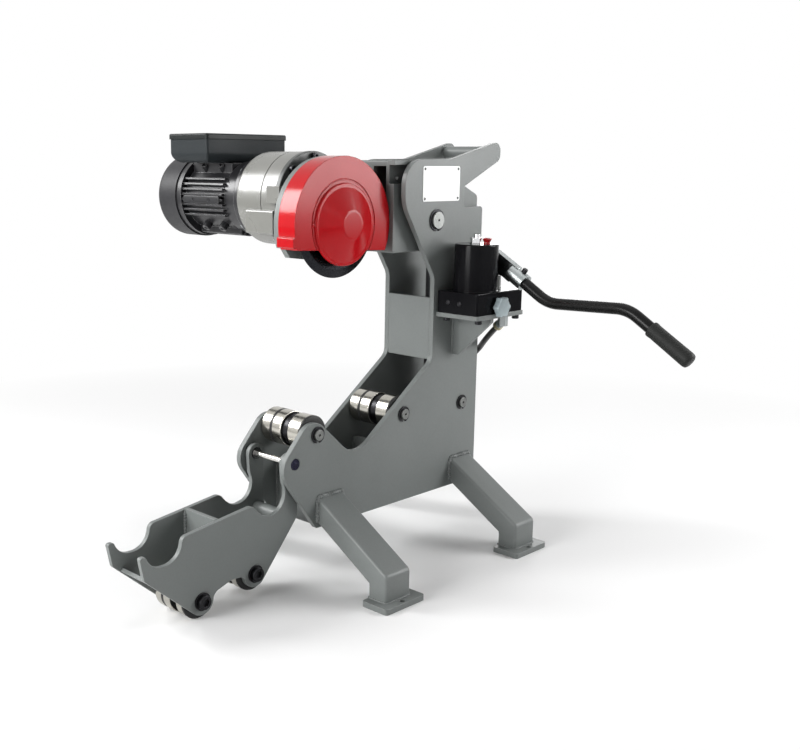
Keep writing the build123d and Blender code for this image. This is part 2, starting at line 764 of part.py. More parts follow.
lay_gear_near = 128.0
lay_gear_far = 142.0
spindle_gear_near = 95.0
spindle_gear_far = 115.0
with BuildPart() as layshaft:
    toothed_disc(module * lay_teeth / 2, lay_teeth, lay_gear_near, lay_gear_far, lay_x, lay_z)
    pinion_near = spindle_gear_near - 3
    pinion_far = spindle_gear_far + 5
    toothed_disc(module * lay_pinion_teeth / 2, lay_pinion_teeth, pinion_near, pinion_far, lay_x, lay_z)
    across(lay_r, flange_far - 5, gearbox_far - 2, lay_x, lay_z)
finish(layshaft, "layshaft")

with BuildPart() as spindle_gear:
    gear_r = module * spindle_teeth / 2
    toothed_disc(gear_r, spindle_teeth, spindle_gear_near, spindle_gear_far, spindle_x, spindle_z)
    across(spindle_r + press_clear, spindle_gear_near, spindle_gear_far, spindle_x, spindle_z, Mode.SUBTRACT)
finish(spindle_gear, "spindle_gear")

# Spindle with the blade clamped on its pilot
blade_near = blade_y - blade_t / 2
blade_far = blade_y + blade_t / 2
blade_bore = 36.0
hub_flange_r = 52.0
blade_bolts_r = 44.6
with BuildPart() as spindle:
    across(spindle_r, blade_near - 20, spindle_gear_far + 3, spindle_x, spindle_z)
    across(blade_bore - seat_clear, blade_near, blade_far, spindle_x, spindle_z)
    across(hub_flange_r, blade_far, blade_far + 8, spindle_x, spindle_z)
finish(spindle, "spindle")

bevel = 14.0
with BuildPart() as cutter_blade:
    with BuildSketch(Plane.XY.offset(spindle_z)):
        with BuildLine():
            Polyline(
                (spindle_x + blade_bore, blade_near),
                (spindle_x + blade_r - bevel, blade_near),
                (spindle_x + blade_r, blade_y - 0.4),
                (spindle_x + blade_r, blade_y + 0.4),
                (spindle_x + blade_r - bevel, blade_far),
                (spindle_x + blade_bore, blade_far),
                close=True,
            )
        make_face()
    revolve(axis=Axis((spindle_x, 0, spindle_z), (0, 1, 0)))
    with Locations((spindle_x, blade_y, spindle_z)):
        with Locations(Rotation(90, 0, 0)):
            with PolarLocations(blade_bolts_r, 4):
                Cylinder(3, blade_t, mode=Mode.SUBTRACT)
            with PolarLocations(blade_bolts_r, 1, start_angle=45):
                Cylinder(5, blade_t, mode=Mode.SUBTRACT)
finish(cutter_blade, "cutter_blade")

clamp_r = 50.0
clamp_t = 6.0
spindle_nut_flats = 46.0
spindle_nut_t = 10.0
with BuildPart() as blade_clamp:
    across(clamp_r, blade_near - clamp_t, blade_near, spindle_x, spindle_z)
    with BuildSketch(side_plane(blade_near - clamp_t)):
        with Locations((spindle_x, spindle_z)):
            RegularPolygon(spindle_nut_flats / 2, 6, major_radius=False)
    extrude(amount=spindle_nut_t)
    across(spindle_r + press_clear, blade_near - 16, blade_near, spindle_x, spindle_z, Mode.SUBTRACT)
finish(blade_clamp, "blade_clamp")

# Motor
shield_far = 210.0
body_far = 330.0
core_r = 62.0
bore_r = 54.0
fin_r = 72.0
fin_t = 3.2
fin_pitch = 9.5
motor_bearing_r = 23.5
motor_bearing_w = 13.0
shield_flange_r = 74.0
shield_flange_far = gearbox_far + 14
shield_bearing_near = gearbox_far + 12
with BuildPart() as motor_end_shield:
    across(shield_flange_r, gearbox_far, shield_flange_far, spindle_x, motor_z)
    across(core_r + 3, shield_flange_far, shield_far, spindle_x, motor_z)
    fillet(edges().filter_by(GeomType.CIRCLE).group_by(Axis.Y)[0], 2)
    across(bore_r, shield_bearing_near + 16, shield_far, spindle_x, motor_z, Mode.SUBTRACT)
    across(motor_bearing_r + seat_clear, shield_bearing_near, shield_far, spindle_x, motor_z, Mode.SUBTRACT)
    across(shaft_r + 2, gearbox_far, shield_far, spindle_x, motor_z, Mode.SUBTRACT)
finish(motor_end_shield, "motor_end_shield")

cowl_r = 77.5
cowl_t = 2.0
stator_near = 226.0
stator_far = 314.0
winding = 10.0
rotor_r = 38.0
air_gap = 0.7
cap_near = 220.0
cap_far = 329.0
cap_half = 95.0
cap_low = 711.5
cap_top = 753.5
cap_wall = 3.0
cap_round = 18.0
gland_y = 275.0
gland_z = cap_low + 28
gland_r = 6.8
cord_r = 4.0
with BuildPart() as motor_body:
    with BuildSketch(side_plane(body_far - 4)):
        with Locations((spindle_x, motor_z)):
            with GridLocations(0, fin_pitch, 1, 8):
                Rectangle(2 * fin_r, fin_t)
        with Locations((spindle_x, motor_z - fin_r / 2)):
            with GridLocations(fin_pitch, 0, 6, 1):
                Rectangle(fin_t, fin_r)
        with Locations((spindle_x, motor_z)):
            Circle(fin_r, mode=Mode.INTERSECT)
            Circle(core_r)
    extrude(amount=body_far - 4 - shield_far)
    slab(spindle_x - 44, spindle_x + 44, shield_far + 2, body_far - 6, motor_z + 40, cap_low)
    across(cowl_r - cowl_t - side_clear, body_far - 4, body_far + 12, spindle_x, motor_z)
    across(bore_r, shield_far, body_far, spindle_x, motor_z, Mode.SUBTRACT)
    across(motor_bearing_r + seat_clear, body_far, body_far + 14, spindle_x, motor_z, Mode.SUBTRACT)
    slab(spindle_x - 90, spindle_x + 90, shield_far, body_far + 12, cap_low, cap_top, Mode.SUBTRACT)
finish(motor_body, "motor_body")

with BuildPart() as motor_stator:
    across(bore_r - seat_clear, stator_near, stator_far, spindle_x, motor_z)
    across(rotor_r + air_gap, stator_near, stator_far, spindle_x, motor_z, Mode.SUBTRACT)
    for near, far in ((stator_near, stator_near + winding), (stator_far - winding, stator_far)):
        across(bore_r, near, far, spindle_x, motor_z, Mode.SUBTRACT)
        across(bore_r - 2, near, far, spindle_x, motor_z)
        across(rotor_r + 3, near, far, spindle_x, motor_z, Mode.SUBTRACT)
finish(motor_stator, "motor_stator")

fan_near = 352.0
fan_w = 22.0
fan_r = 66.0
fan_hub_r = 18.0
with BuildPart() as motor_rotor:
    across(shaft_r, lay_gear_far + 6, fan_near + fan_w + 18, spindle_x, motor_z)
    across(rotor_r, stator_near + winding, stator_far - winding, spindle_x, motor_z)
    pinion_r = module * motor_teeth / 2
    toothed_disc(pinion_r, motor_teeth, lay_gear_near - 2, lay_gear_far + 6, spindle_x, motor_z)
finish(motor_rotor, "motor_rotor")

with BuildPart() as cooling_fan:
    across(fan_r, fan_near, fan_near + 3, spindle_x, motor_z)
    across(fan_hub_r, fan_near, fan_near + fan_w, spindle_x, motor_z)
    with Locations((spindle_x, fan_near + fan_w / 2, motor_z)):
        with Locations(Rotation(90, 0, 0)):
            with PolarLocations((fan_r + fan_hub_r) / 2 - 1, 9):
                Box(fan_r - fan_hub_r + 2, 2.5, fan_w)
    across(shaft_r + press_clear, fan_near, fan_near + fan_w, spindle_x, motor_z, Mode.SUBTRACT)
finish(cooling_fan, "cooling_fan")

cowl_near = body_far + 10
cowl_far = fan_near + fan_w + 28
cowl_round = 16.0
with BuildPart() as fan_cowl:
    across(cowl_r, cowl_near, cowl_far, spindle_x, motor_z)
    fillet(edges().filter_by(GeomType.CIRCLE).group_by(Axis.Y)[-1], cowl_round)
    across(cowl_r - cowl_t, cowl_near, cowl_far - cowl_round + 2, spindle_x, motor_z, Mode.SUBTRACT)
    across(cowl_r - cowl_round, cowl_near, cowl_far - 3, spindle_x, motor_z, Mode.SUBTRACT)
    with Locations((spindle_x, cowl_far - 2, motor_z)):
        with Locations(Rotation(90, 0, 0)):
            for ring in (22, 34, 46):
                with PolarLocations(ring, 2 * (ring // 4)):
                    Cylinder(2.6, 8, mode=Mode.SUBTRACT)
finish(fan_cowl, "fan_cowl")

with BuildPart() as head_bearings:
    for near in (back_near + 2.2, back_near + 2.7 + spindle_bearing_w):
        across(bearing_r, near, near + spindle_bearing_w, spindle_x, spindle_z)
        across(spindle_r + run_clear, near, near + spindle_bearing_w, spindle_x, spindle_z, Mode.SUBTRACT)
    for near in (shield_bearing_near + 0.2, body_far - 1):
        across(motor_bearing_r, near, near + motor_bearing_w, spindle_x, motor_z)
        across(shaft_r + run_clear, near, near + motor_bearing_w, spindle_x, motor_z, Mode.SUBTRACT)
finish(head_bearings, "head_bearings")

with BuildPart() as capacitor_box:
    slab(spindle_x - cap_half, spindle_x + cap_half, cap_near, cap_far, cap_low, cap_top)
    fillet(edges().filter_by(Axis.Z), 4)
    fillet(edges().filter_by(Axis.Y).group_by(Axis.Z)[0], cap_round)
    inside = cap_half - cap_wall
    hold_near = cap_near + cap_wall
    hold_far = cap_far - cap_wall
    hold_low = cap_low + cap_round + 2
    slab(spindle_x - inside, spindle_x + inside, hold_near, hold_far, hold_low, cap_top, Mode.SUBTRACT)
    well = inside - cap_round
    well_near = hold_near + cap_round
    well_far = hold_far - cap_round
    slab(spindle_x - well, spindle_x + well, well_near, well_far, cap_low + cap_wall, hold_low + 1, Mode.SUBTRACT)
    with Locations((spindle_x + cap_half, gland_y, gland_z)):
        Cylinder(gland_r + 0.2, 12, rotation=(0, 90, 0), mode=Mode.SUBTRACT)
finish(capacitor_box, "capacitor_box")

with BuildPart() as capacitor_lid:
    slab(spindle_x - cap_half - 2, spindle_x + cap_half + 2, cap_near - 2, cap_far + 2, cap_top, cap_top + 10)
    fillet(edges().filter_by(Axis.Z), 5)
    fillet(faces().sort_by(Axis.Z)[-1].edges(), 3)
finish(capacitor_lid, "capacitor_lid")

gland_x = spindle_x + cap_half
with BuildPart() as cable_gland:
    with Locations((gland_x + 1, gland_y, gland_z)):
        Cylinder(gland_r, 14, rotation=(0, 90, 0))
    with Locations((gland_x + 8, gland_y, gland_z)):
        Cylinder(10, 16, rotation=(0, 90, 0))
    fillet(edges().filter_by(GeomType.CIRCLE).group_by(Axis.X)[-1], 3)
    with Locations((gland_x + 6, gland_y, gland_z)):
        Cylinder(cord_r, 24, rotation=(0, 90, 0), mode=Mode.SUBTRACT)
finish(cable_gland, "cable_gland")

# Ram: cylinder on the third cross shaft, rod up to the arm's tail
cylinder_r = 28.0
piston_r = 20.0
rod_r = 14.0
cylinder_top = 520.0
bore_low = 310.0
port_play = 4.0
port_wall = 3.5
port = Vector(ram_x + 34, 10, ram_base_z + 30)
hose_turn = Vector(rear_x + 36, -30, ram_base_z + 82)
port_dir = (hose_turn - port).normalized()
with BuildPart() as ram_cylinder:
    across(bolt_r + 10, -ram_eye_half, ram_eye_half, ram_x, ram_base_z)
    upright(cylinder_r, ram_base_z + 14, cylinder_top, ram_x, 0)
    fillet(edges().filter_by(GeomType.CIRCLE).group_by(Axis.Z)[-1], 2)
    with Locations(Plane(port - port_dir * 4, z_dir=port_dir)):
        Cylinder(hose_r + port_play + port_wall, 20, align=from_end)
    with Locations(Plane(port, z_dir=port_dir)):
        Cylinder(hose_r + port_play, 30, align=from_end, mode=Mode.SUBTRACT)
    upright(piston_r, bore_low, cylinder_top - 14, ram_x, 0, Mode.SUBTRACT)
    upright(rod_r + run_clear, bore_low, cylinder_top, ram_x, 0, Mode.SUBTRACT)
    across(bolt_r + run_clear, -ram_eye_half, ram_eye_half, ram_x, ram_base_z, Mode.SUBTRACT)
finish(ram_cylinder, "ram_cylinder")

with BuildPart() as ram_rod:
    upright(piston_r - run_clear, bore_low + 20, bore_low + 42, ram_x, 0)
    upright(rod_r, bore_low + 20, ram_top_z - 10, ram_x, 0)
    across(ram_pin_r + 11, -slot_half + 1, slot_half - 1, ram_x, ram_top_z)
    across(ram_pin_r + ram_pin_play, -slot_half, slot_half, ram_x, ram_top_z, Mode.SUBTRACT)
finish(ram_rod, "ram_rod")

# Hand pump
shelf_front = reservoir_x - reservoir_r - 11
shelf_rear = lever_x + 40
shelf_low = shelf_z - shelf_t
pump_bolt_r = 4.0
pump_bolt_x = (shelf_front + 17, shelf_rear - 13)
pump_bolt_y = (-plate_out - 13, -plate_out - 85)
gusset_x = 150.0
gusset_t = 8.0
gusset_low = 359.0
stub_r = 6.0
fitting = Vector(lever_x - 5, -plate_out - 80, shelf_z - 18)
hose_bend = Vector(lever_x + 18, -plate_out - 30, shelf_z - 54)
fitting_dir = (hose_bend - fitting).normalized()
with BuildPart() as pump_bracket:
    slab(shelf_front, shelf_rear, -plate_out - shelf_d, -plate_out, shelf_low, shelf_z)
    fillet(edges().filter_by(Axis.Z).group_by(Axis.Y)[0], 6)
    with BuildSketch(Plane.YZ.offset(gusset_x)):
        with BuildLine():
            Polyline(
                (-plate_out, shelf_low),
                (-plate_out, gusset_low),
                (-plate_out - 14, gusset_low),
                (-plate_out - shelf_d + 7, shelf_low - 8),
                (-plate_out - shelf_d + 7, shelf_low),
                close=True,
            )
        make_face()
    extrude(amount=gusset_t / 2, both=True)
    for x in pump_bolt_x:
        for y in pump_bolt_y:
            upright(pump_bolt_r + hole_clear, shelf_low, shelf_z, x, y, Mode.SUBTRACT)
    upright(stub_r + hole_clear, shelf_low, shelf_z, fitting.X, fitting.Y, Mode.SUBTRACT)
finish(pump_bracket, "pump_bracket")

with BuildPart() as pump_bolts:
    for x in pump_bolt_x:
        for y in pump_bolt_y:
            upright(pump_bolt_r + 2.5, shelf_low - 8, shelf_low, x, y)
            upright(pump_bolt_r, shelf_low, shelf_z + 14, x, y)
    fillet(edges().filter_by(GeomType.CIRCLE).group_by(Axis.Z)[0], 1)
finish(pump_bolts, "pump_bolts")

piston_y = lever_y - 21.0
piston_hole = 6.0
knob_x = reservoir_x + 14.0
knob_z = shelf_z + 13.0
stem_r = 5.0
block_near = -plate_out - 92.0
block_far = -plate_out - 1.0
with BuildPart() as pump_block:
    slab(shelf_front + 2, shelf_rear - 2, block_near, block_far, shelf_z, block_z)
    fillet(edges().filter_by(Axis.Z), 4)
    fillet(edges().group_by(Axis.Z)[-1], 1.5)
    for x in pump_bolt_x:
        for y in pump_bolt_y:
            upright(pump_bolt_r + hole_clear, shelf_z, shelf_z + 15, x, y, Mode.SUBTRACT)
    upright(piston_hole + run_clear, shelf_z + 10, block_z, lever_x, piston_y, Mode.SUBTRACT)
    across(stem_r + run_clear, block_near, block_near + 14, knob_x, knob_z, Mode.SUBTRACT)
finish(pump_block, "pump_block")

with BuildPart() as reservoir:
    upright(reservoir_r, block_z, reservoir_z, reservoir_x, reservoir_y)
    fillet(edges().filter_by(GeomType.CIRCLE).group_by(Axis.Z)[-1], 3)
    upright(reservoir_r - 4, block_z, reservoir_z - 6, reservoir_x, reservoir_y, Mode.SUBTRACT)
finish(reservoir, "reservoir")

with BuildPart() as reservoir_nut:
    with BuildSketch(Plane.XY.offset(reservoir_z)):
        with Locations((reservoir_x, reservoir_y)):
            RegularPolygon(11, 6, major_radius=False)
    extrude(amount=11)
    upright(6, reservoir_z + 11, reservoir_z + 17, reservoir_x, reservoir_y)
finish(reservoir_nut, "reservoir_nut")

with BuildPart() as filler_cap:
    upright(8.5, reservoir_z, reservoir_z + 11, reservoir_x + 1, reservoir_y - 22)
    fillet(edges().filter_by(GeomType.CIRCLE).group_by(Axis.Z)[-1], 2)
finish(filler_cap, "filler_cap")

cheek_t = 5.0
cheek_r = 11.0
cheek_gap = socket_w / 2 + 0.5
pin_r = 5.0
with BuildPart() as lever_yoke:
    for side in (-1, 1):
        inner = lever_x + side * cheek_gap
        outer = inner + side * cheek_t
        with BuildSketch(Plane.YZ.offset(min(inner, outer))):
            with BuildLine():
                Polyline(
                    (lever_y - 16, block_z),
                    (lever_y - cheek_r, lever_z),
                    (lever_y + cheek_r, lever_z),
                    (lever_y + 20, block_z),
                    close=True,
                )
            make_face()
            with Locations((lever_y, lever_z)):
                Circle(cheek_r)
        extrude(amount=cheek_t)
    with Locations((lever_x, lever_y, lever_z)):
        Cylinder(pin_r + hole_clear, 60, rotation=(0, 90, 0), mode=Mode.SUBTRACT)
        Cylinder(pin_r, 2 * (cheek_gap + cheek_t), rotation=(0, 90, 0))
finish(lever_yoke, "lever_yoke")

# Lever: forked socket, bent tube and rubber grip
tube_start = (lever_y - 58.0, lever_z - 21.0)
tube_low = (lever_y - 132.6, lever_z - 67.2)
tube_high = (lever_y - 291.8, lever_z - 61.9)
tube_end = (lever_y - 405.5, lever_z - 134.6)


def lever_point(yz):
    return Vector(lever_x, yz[0], yz[1])


socket_dir = (lever_point(tube_low) - lever_point(tube_start)).normalized()
screw_dir = Vector(0, socket_dir.Z, -socket_dir.Y)
screw_at = lever_point(tube_start) + socket_dir * 15 + screw_dir * (tube_r + 2)
screw_r = 5.0
grip_dir = (lever_point(tube_end) - lever_point(tube_high)).normalized()
with BuildPart() as lever_socket:
    with BuildSketch(Plane.YZ.offset(lever_x - socket_w / 2)):
        with BuildLine():
            FilletPolyline(
                (lever_y + 12, lever_z + 16),
                (lever_y - 14, lever_z + 24),
                (tube_start[0] - 12, tube_start[1] + 12),
                (tube_start[0] + 8, tube_start[1] - 14),
                (lever_y - 34, lever_z - 25),
                (lever_y + 6, lever_z - 25),
                (lever_y + 14, lever_z - 14),
                radius=(10, 14, 0, 0, 6, 6, 6),
                close=True,
            )
        make_face()
    extrude(amount=socket_w)
    with Locations(Plane(lever_point(tube_start) - socket_dir * 8, z_dir=socket_dir)):
        Cylinder(tube_r + 5, 36, align=from_end)
    with Locations(Plane(lever_point(tube_start), z_dir=socket_dir)):
        Cylinder(tube_r + hole_clear, 60, align=from_end, mode=Mode.SUBTRACT)
    with Locations((lever_x, lever_y, lever_z)):
        Cylinder(pin_r + run_clear, 40, rotation=(0, 90, 0), mode=Mode.SUBTRACT)
    with Locations(Plane(screw_at, z_dir=screw_dir)):
        Cylinder(screw_r + hole_clear, 10, align=from_end, mode=Mode.SUBTRACT)
finish(lever_socket, "lever_socket")

with BuildPart() as lever_screw:
    with Locations(Plane(screw_at, z_dir=screw_dir)):
        Cylinder(screw_r, 10, align=from_end)
    fillet(edges().filter_by(GeomType.CIRCLE).sort_by(Axis.Z)[-1], 1)
finish(lever_screw, "lever_screw")

with BuildPart() as lever_tube:
    with BuildLine() as lever_path:
        FilletPolyline(
            lever_point(tube_start) + socket_dir * 0.5,
            lever_point(tube_low),
            lever_point(tube_high),
            lever_point(tube_end),
            radius=(70, 70),
        )
    with BuildSketch(Plane(lever_path.line @ 0, z_dir=lever_path.line % 0)):
        Circle(tube_r)
        Circle(tube_r - 2.5, mode=Mode.SUBTRACT)
    sweep(path=lever_path.line)
finish(lever_tube, "lever_tube")

grip_len = 88.0
grip_r = 14.0
grip_end = lever_point(tube_end) + grip_dir * 5
with BuildPart() as lever_grip:
    with Locations(Plane(grip_end, z_dir=grip_dir * -1)):
        Cylinder(grip_r, grip_len, align=from_end)
    fillet(edges().filter_by(GeomType.CIRCLE), 4)
    with Locations(Plane(lever_point(tube_end) + grip_dir * 0.3, z_dir=grip_dir * -1)):
        Cylinder(tube_r + hole_clear, grip_len + 4, align=from_end, mode=Mode.SUBTRACT)
finish(lever_grip, "lever_grip")

with BuildPart() as pump_piston:
    upright(piston_hole, shelf_z + 16, lever_z - 26.4, lever_x, piston_y)
    upright(piston_hole + 1, block_z + 0.5, block_z + 5, lever_x, piston_y)
finish(pump_piston, "pump_piston")

knob_r = 16.5
with BuildPart() as release_knob:
    with BuildSketch(side_plane(block_near - 4)):
        with Locations((knob_x, knob_z)):
            Circle(knob_r)
            with PolarLocations(knob_r - 1.5, 6):
                Circle(4.5)
    extrude(amount=11)
    fillet(edges().group_by(Axis.Y)[0], 1.5)
    across(9, block_near - 4, block_near - 0.3, knob_x, knob_z)
    across(stem_r, block_near - 4, block_near + 12, knob_x, knob_z)
finish(release_knob, "release_knob")

# Pressure hose from under the shelf, round the rear edge, to the ram port
with BuildPart() as hose_fitting:
    upright(stub_r, shelf_low, shelf_z, fitting.X, fitting.Y)
    with BuildSketch(Plane.XY.offset(fitting.Z - 9)):
        with Locations((fitting.X, fitting.Y)):
            RegularPolygon(9.5, 6)
    extrude(amount=shelf_low - fitting.Z + 9)
    with Locations(Plane(fitting, z_dir=fitting_dir)):
        Cylinder(8.5, 18, align=from_end)
    with Locations(Plane(fitting + fitting_dir * 12, z_dir=fitting_dir)):
        Cylinder(hose_r + hole_clear, 30, align=from_end, mode=Mode.SUBTRACT)
finish(hose_fitting, "hose_fitting")

hose_points = [fitting + fitting_dir * 12.2, hose_bend, hose_turn, port + port_dir * 2]
hose_radii = []
for before, here, after in zip(hose_points, hose_points[1:], hose_points[2:]):
    half_turn = radians((here - before).get_angle(after - here)) / 2
    shorter = min((here - before).length, (after - here).length)
    hose_radii.append(0.45 * shorter / tan(half_turn))
print("hose bend radii", [round(radius, 1) for radius in hose_radii])

with BuildPart() as hydraulic_hose:
    with BuildLine() as hose_path:
        FilletPolyline(hose_points, radius=hose_radii)
    with BuildSketch(Plane(hose_path.line @ 0, z_dir=hose_path.line % 0)):
        Circle(hose_r)
    sweep(path=hose_path.line)
finish(hydraulic_hose, "hydraulic_hose")
hose_length = sum(edge.length for edge in hose_path.edges())
print("hose length", round(hose_length, 1))
straight_volume = hose_length * pi * hose_r**2
print("volume over section times length", round(hydraulic_hose.part.volume / straight_volume, 3))
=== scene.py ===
import json
import math

import bmesh
import bpy
import numpy as np
from mathutils import Matrix, Vector

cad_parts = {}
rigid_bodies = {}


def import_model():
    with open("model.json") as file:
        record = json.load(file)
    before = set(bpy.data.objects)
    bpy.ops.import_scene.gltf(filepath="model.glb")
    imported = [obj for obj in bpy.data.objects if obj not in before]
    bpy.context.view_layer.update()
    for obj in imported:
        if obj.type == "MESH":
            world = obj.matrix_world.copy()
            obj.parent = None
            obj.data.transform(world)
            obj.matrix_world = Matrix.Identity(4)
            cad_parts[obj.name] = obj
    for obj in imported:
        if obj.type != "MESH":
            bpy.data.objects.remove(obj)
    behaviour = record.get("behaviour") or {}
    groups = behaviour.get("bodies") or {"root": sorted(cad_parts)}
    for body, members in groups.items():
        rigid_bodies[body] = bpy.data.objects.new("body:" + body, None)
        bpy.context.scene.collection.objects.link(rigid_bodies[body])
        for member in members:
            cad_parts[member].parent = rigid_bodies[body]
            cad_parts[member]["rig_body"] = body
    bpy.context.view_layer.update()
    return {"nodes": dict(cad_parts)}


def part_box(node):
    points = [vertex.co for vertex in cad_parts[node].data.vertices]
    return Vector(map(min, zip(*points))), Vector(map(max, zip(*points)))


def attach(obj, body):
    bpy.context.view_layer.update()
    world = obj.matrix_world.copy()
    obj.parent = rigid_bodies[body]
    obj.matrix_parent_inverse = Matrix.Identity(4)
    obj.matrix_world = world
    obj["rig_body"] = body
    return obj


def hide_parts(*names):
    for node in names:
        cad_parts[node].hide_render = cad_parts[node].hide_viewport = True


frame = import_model()
nodes = frame["nodes"]
scene = bpy.context.scene
mm = 0.001
print("frame loaded,", len(nodes), "nodes")


# Camera at the photograph's view, worked out for a picture of 800 by 750

cameraView = {
    "place": (-1.41358, -1.28342, 0.71370),
    "yaw": 44.65,
    "pitch": 11.426,
    "roll": -0.338,
    "focalPixels": 1052.48,
    "picture": (800, 750),
    "opticalCentre": (320, 375),
    "filmWidth": 36.0,
}


def setCamera(view):
    # axes from the three angles, then a shift that puts the optical centre at its pixel
    yaw, pitch, roll = (math.radians(view[k]) for k in ("yaw", "pitch", "roll"))
    look = Vector((math.sin(yaw) * math.cos(pitch), math.cos(yaw) * math.cos(pitch), -math.sin(pitch)))
    level = Vector((math.cos(yaw), -math.sin(yaw), 0))
    down = look.cross(level)
    right = level * math.cos(roll) + down * math.sin(roll)
    below = down * math.cos(roll) - level * math.sin(roll)
    lens = bpy.data.cameras.new("photoCamera")
    wide, high = view["picture"]
    lens.sensor_width = view["filmWidth"]
    lens.lens = view["focalPixels"] * view["filmWidth"] / wide
    lens.shift_x = 0.5 - view["opticalCentre"][0] / wide
    lens.shift_y = (view["opticalCentre"][1] - high / 2) / wide
    eye = bpy.data.objects.new("photoCamera", lens)
    turn = Matrix((right, -below, -look)).transposed()
    eye.matrix_world = Matrix.Translation(view["place"]) @ turn.to_4x4()
    scene.collection.objects.link(eye)
    scene.camera = eye


setCamera(cameraView)
scene.view_settings.view_transform = "Standard"


# Shader groups shared by the finishes

socketKinds = {"c": "NodeSocketColor", "f": "NodeSocketFloat", "v": "NodeSocketVector"}
mixSockets = {"factor": 0, "first": 6, "second": 7, "result": 2}  # places of a Mix node's colour sockets
noiseRoughness = 0.55


def newGroup(name, inputs, outputs):
    tree = bpy.data.node_groups.new(name, "ShaderNodeTree")
    for label, kind, value in inputs:
        socket = tree.interface.new_socket(label, in_out="INPUT", socket_type=socketKinds[kind])
        socket.default_value = value
    for label, kind in outputs:
        tree.interface.new_socket(label, in_out="OUTPUT", socket_type=socketKinds[kind])
    return tree, tree.nodes.new("NodeGroupInput").outputs, tree.nodes.new("NodeGroupOutput").inputs


def addNode(tree, kind, **settings):
    node = tree.nodes.new(kind)
    for key, value in settings.items():
        setattr(node, key, value)
    return node


def feed(tree, socket, given):
    # a plain number or colour is set on the socket, an output is linked to it
    if isinstance(given, (int, float, tuple)):
        socket.default_value = given
    else:
        tree.links.new(given, socket)


def objectPlace(tree):
    return addNode(tree, "ShaderNodeTexCoord").outputs["Object"]


def noiseAt(tree, vector, scale, detail):
    node = addNode(tree, "ShaderNodeTexNoise")
    settings = {"Vector": vector, "Scale": scale, "Detail": detail, "Roughness": noiseRoughness}
    for label, given in settings.items():
        feed(tree, node.inputs[label], given)
    return node.outputs["Fac"]


def remap(tree, value, band, low=0.0, high=1.0):
    # the two ends of the band become low and high
    node = addNode(tree, "ShaderNodeMapRange")
    labels = ("Value", "From Min", "From Max", "To Min", "To Max")
    for label, given in zip(labels, (value, *band, low, high)):
        feed(tree, node.inputs[label], given)
    return node.outputs["Result"]


def mixColour(tree, factor, first, second):
    node = addNode(tree, "ShaderNodeMix", data_type="RGBA")
    for label, given in (("factor", factor), ("first", first), ("second", second)):
        feed(tree, node.inputs[mixSockets[label]], given)
    return node.outputs[mixSockets["result"]]


def sums(tree, operation, first, second=0.0):
    # products are kept between 0 and 1
    node = addNode(tree, "ShaderNodeMath", operation=operation, use_clamp=operation == "MULTIPLY")
    feed(tree, node.inputs[0], first)
    feed(tree, node.inputs[1], second)
    return node.outputs[0]


coatingNoise = {
    "cloudDetail": 4, "cloudBand": (0.3, 0.7), "cloudShare": 0.75, "glossBand": (0.25, 0.75), "skinDetail": 3,
    "speckScale": 260.0, "speckDetail": 2, "speckBand": (0.35, 0.65), "speckShare": 0.25,
}


def makeCoatingGroup(look):
    # cloudy tone with fine specks, gloss that follows the clouds, and a fine skin for the bump
    tree, given, result = newGroup(
        "coatingSkin",
        [("Colour", "c", (0.5, 0.5, 0.5, 1)), ("Shade", "c", (0.4, 0.4, 0.4, 1)), ("Cloud", "f", 7.0),
         ("Skin", "f", 700.0), ("RoughLow", "f", 0.3), ("RoughHigh", "f", 0.5)],
        [("Colour", "c"), ("Roughness", "f"), ("Height", "f")],
    )
    place = objectPlace(tree)
    cloud = noiseAt(tree, place, given["Cloud"], look["cloudDetail"])
    speck = noiseAt(tree, place, look["speckScale"], look["speckDetail"])
    clouded = remap(tree, cloud, look["cloudBand"], 0.0, look["cloudShare"])
    specked = remap(tree, speck, look["speckBand"], 0.0, look["speckShare"])
    tone = sums(tree, "ADD", clouded, specked)
    feed(tree, result["Colour"], mixColour(tree, tone, given["Colour"], given["Shade"]))
    gloss = remap(tree, cloud, look["glossBand"], given["RoughLow"], given["RoughHigh"])
    feed(tree, result["Roughness"], gloss)
    feed(tree, result["Height"], noiseAt(tree, place, given["Skin"], look["skinDetail"]))
    return tree


edgeNoise = {"bevelSamples": 6, "scale": 60.0, "detail": 4, "band": (0.3, 0.6), "leastEdgeMark": 0.35}


def makeEdgeGroup(look):
    # where the rounded normal leaves the flat one, broken up by noise: a mask for edges tinted lighter,
    # partly rubbed wear and partly painted highlight
    tree, given, result = newGroup(
        "edgeRubAndSheen", [("Width", "f", 0.001), ("Strength", "f", 3.0)], [("Mask", "f"), ("Normal", "v")])
    bevel = addNode(tree, "ShaderNodeBevel", samples=look["bevelSamples"])
    feed(tree, bevel.inputs["Radius"], given["Width"])
    dot = addNode(tree, "ShaderNodeVectorMath", operation="DOT_PRODUCT")
    feed(tree, dot.inputs[0], bevel.outputs["Normal"])
    feed(tree, dot.inputs[1], addNode(tree, "ShaderNodeNewGeometry").outputs["Normal"])
    away = sums(tree, "SUBTRACT", 1.0, dot.outputs["Value"])
    noise = noiseAt(tree, objectPlace(tree), look["scale"], look["detail"])
    broken = remap(tree, noise, look["band"], look["leastEdgeMark"])
    mask = sums(tree, "MULTIPLY", sums(tree, "MULTIPLY", away, broken), given["Strength"])
    feed(tree, result["Mask"], mask)
    feed(tree, result["Normal"], bevel.outputs["Normal"])
    return tree


turningNoise = {
    "lineScale": 1.0, "lineDetail": 3, "lineBand": (0.3, 0.7),
    "stainScale": 45.0, "stainDetail": 3, "stainBand": (0.35, 0.75), "leastStain": 0.4,
}


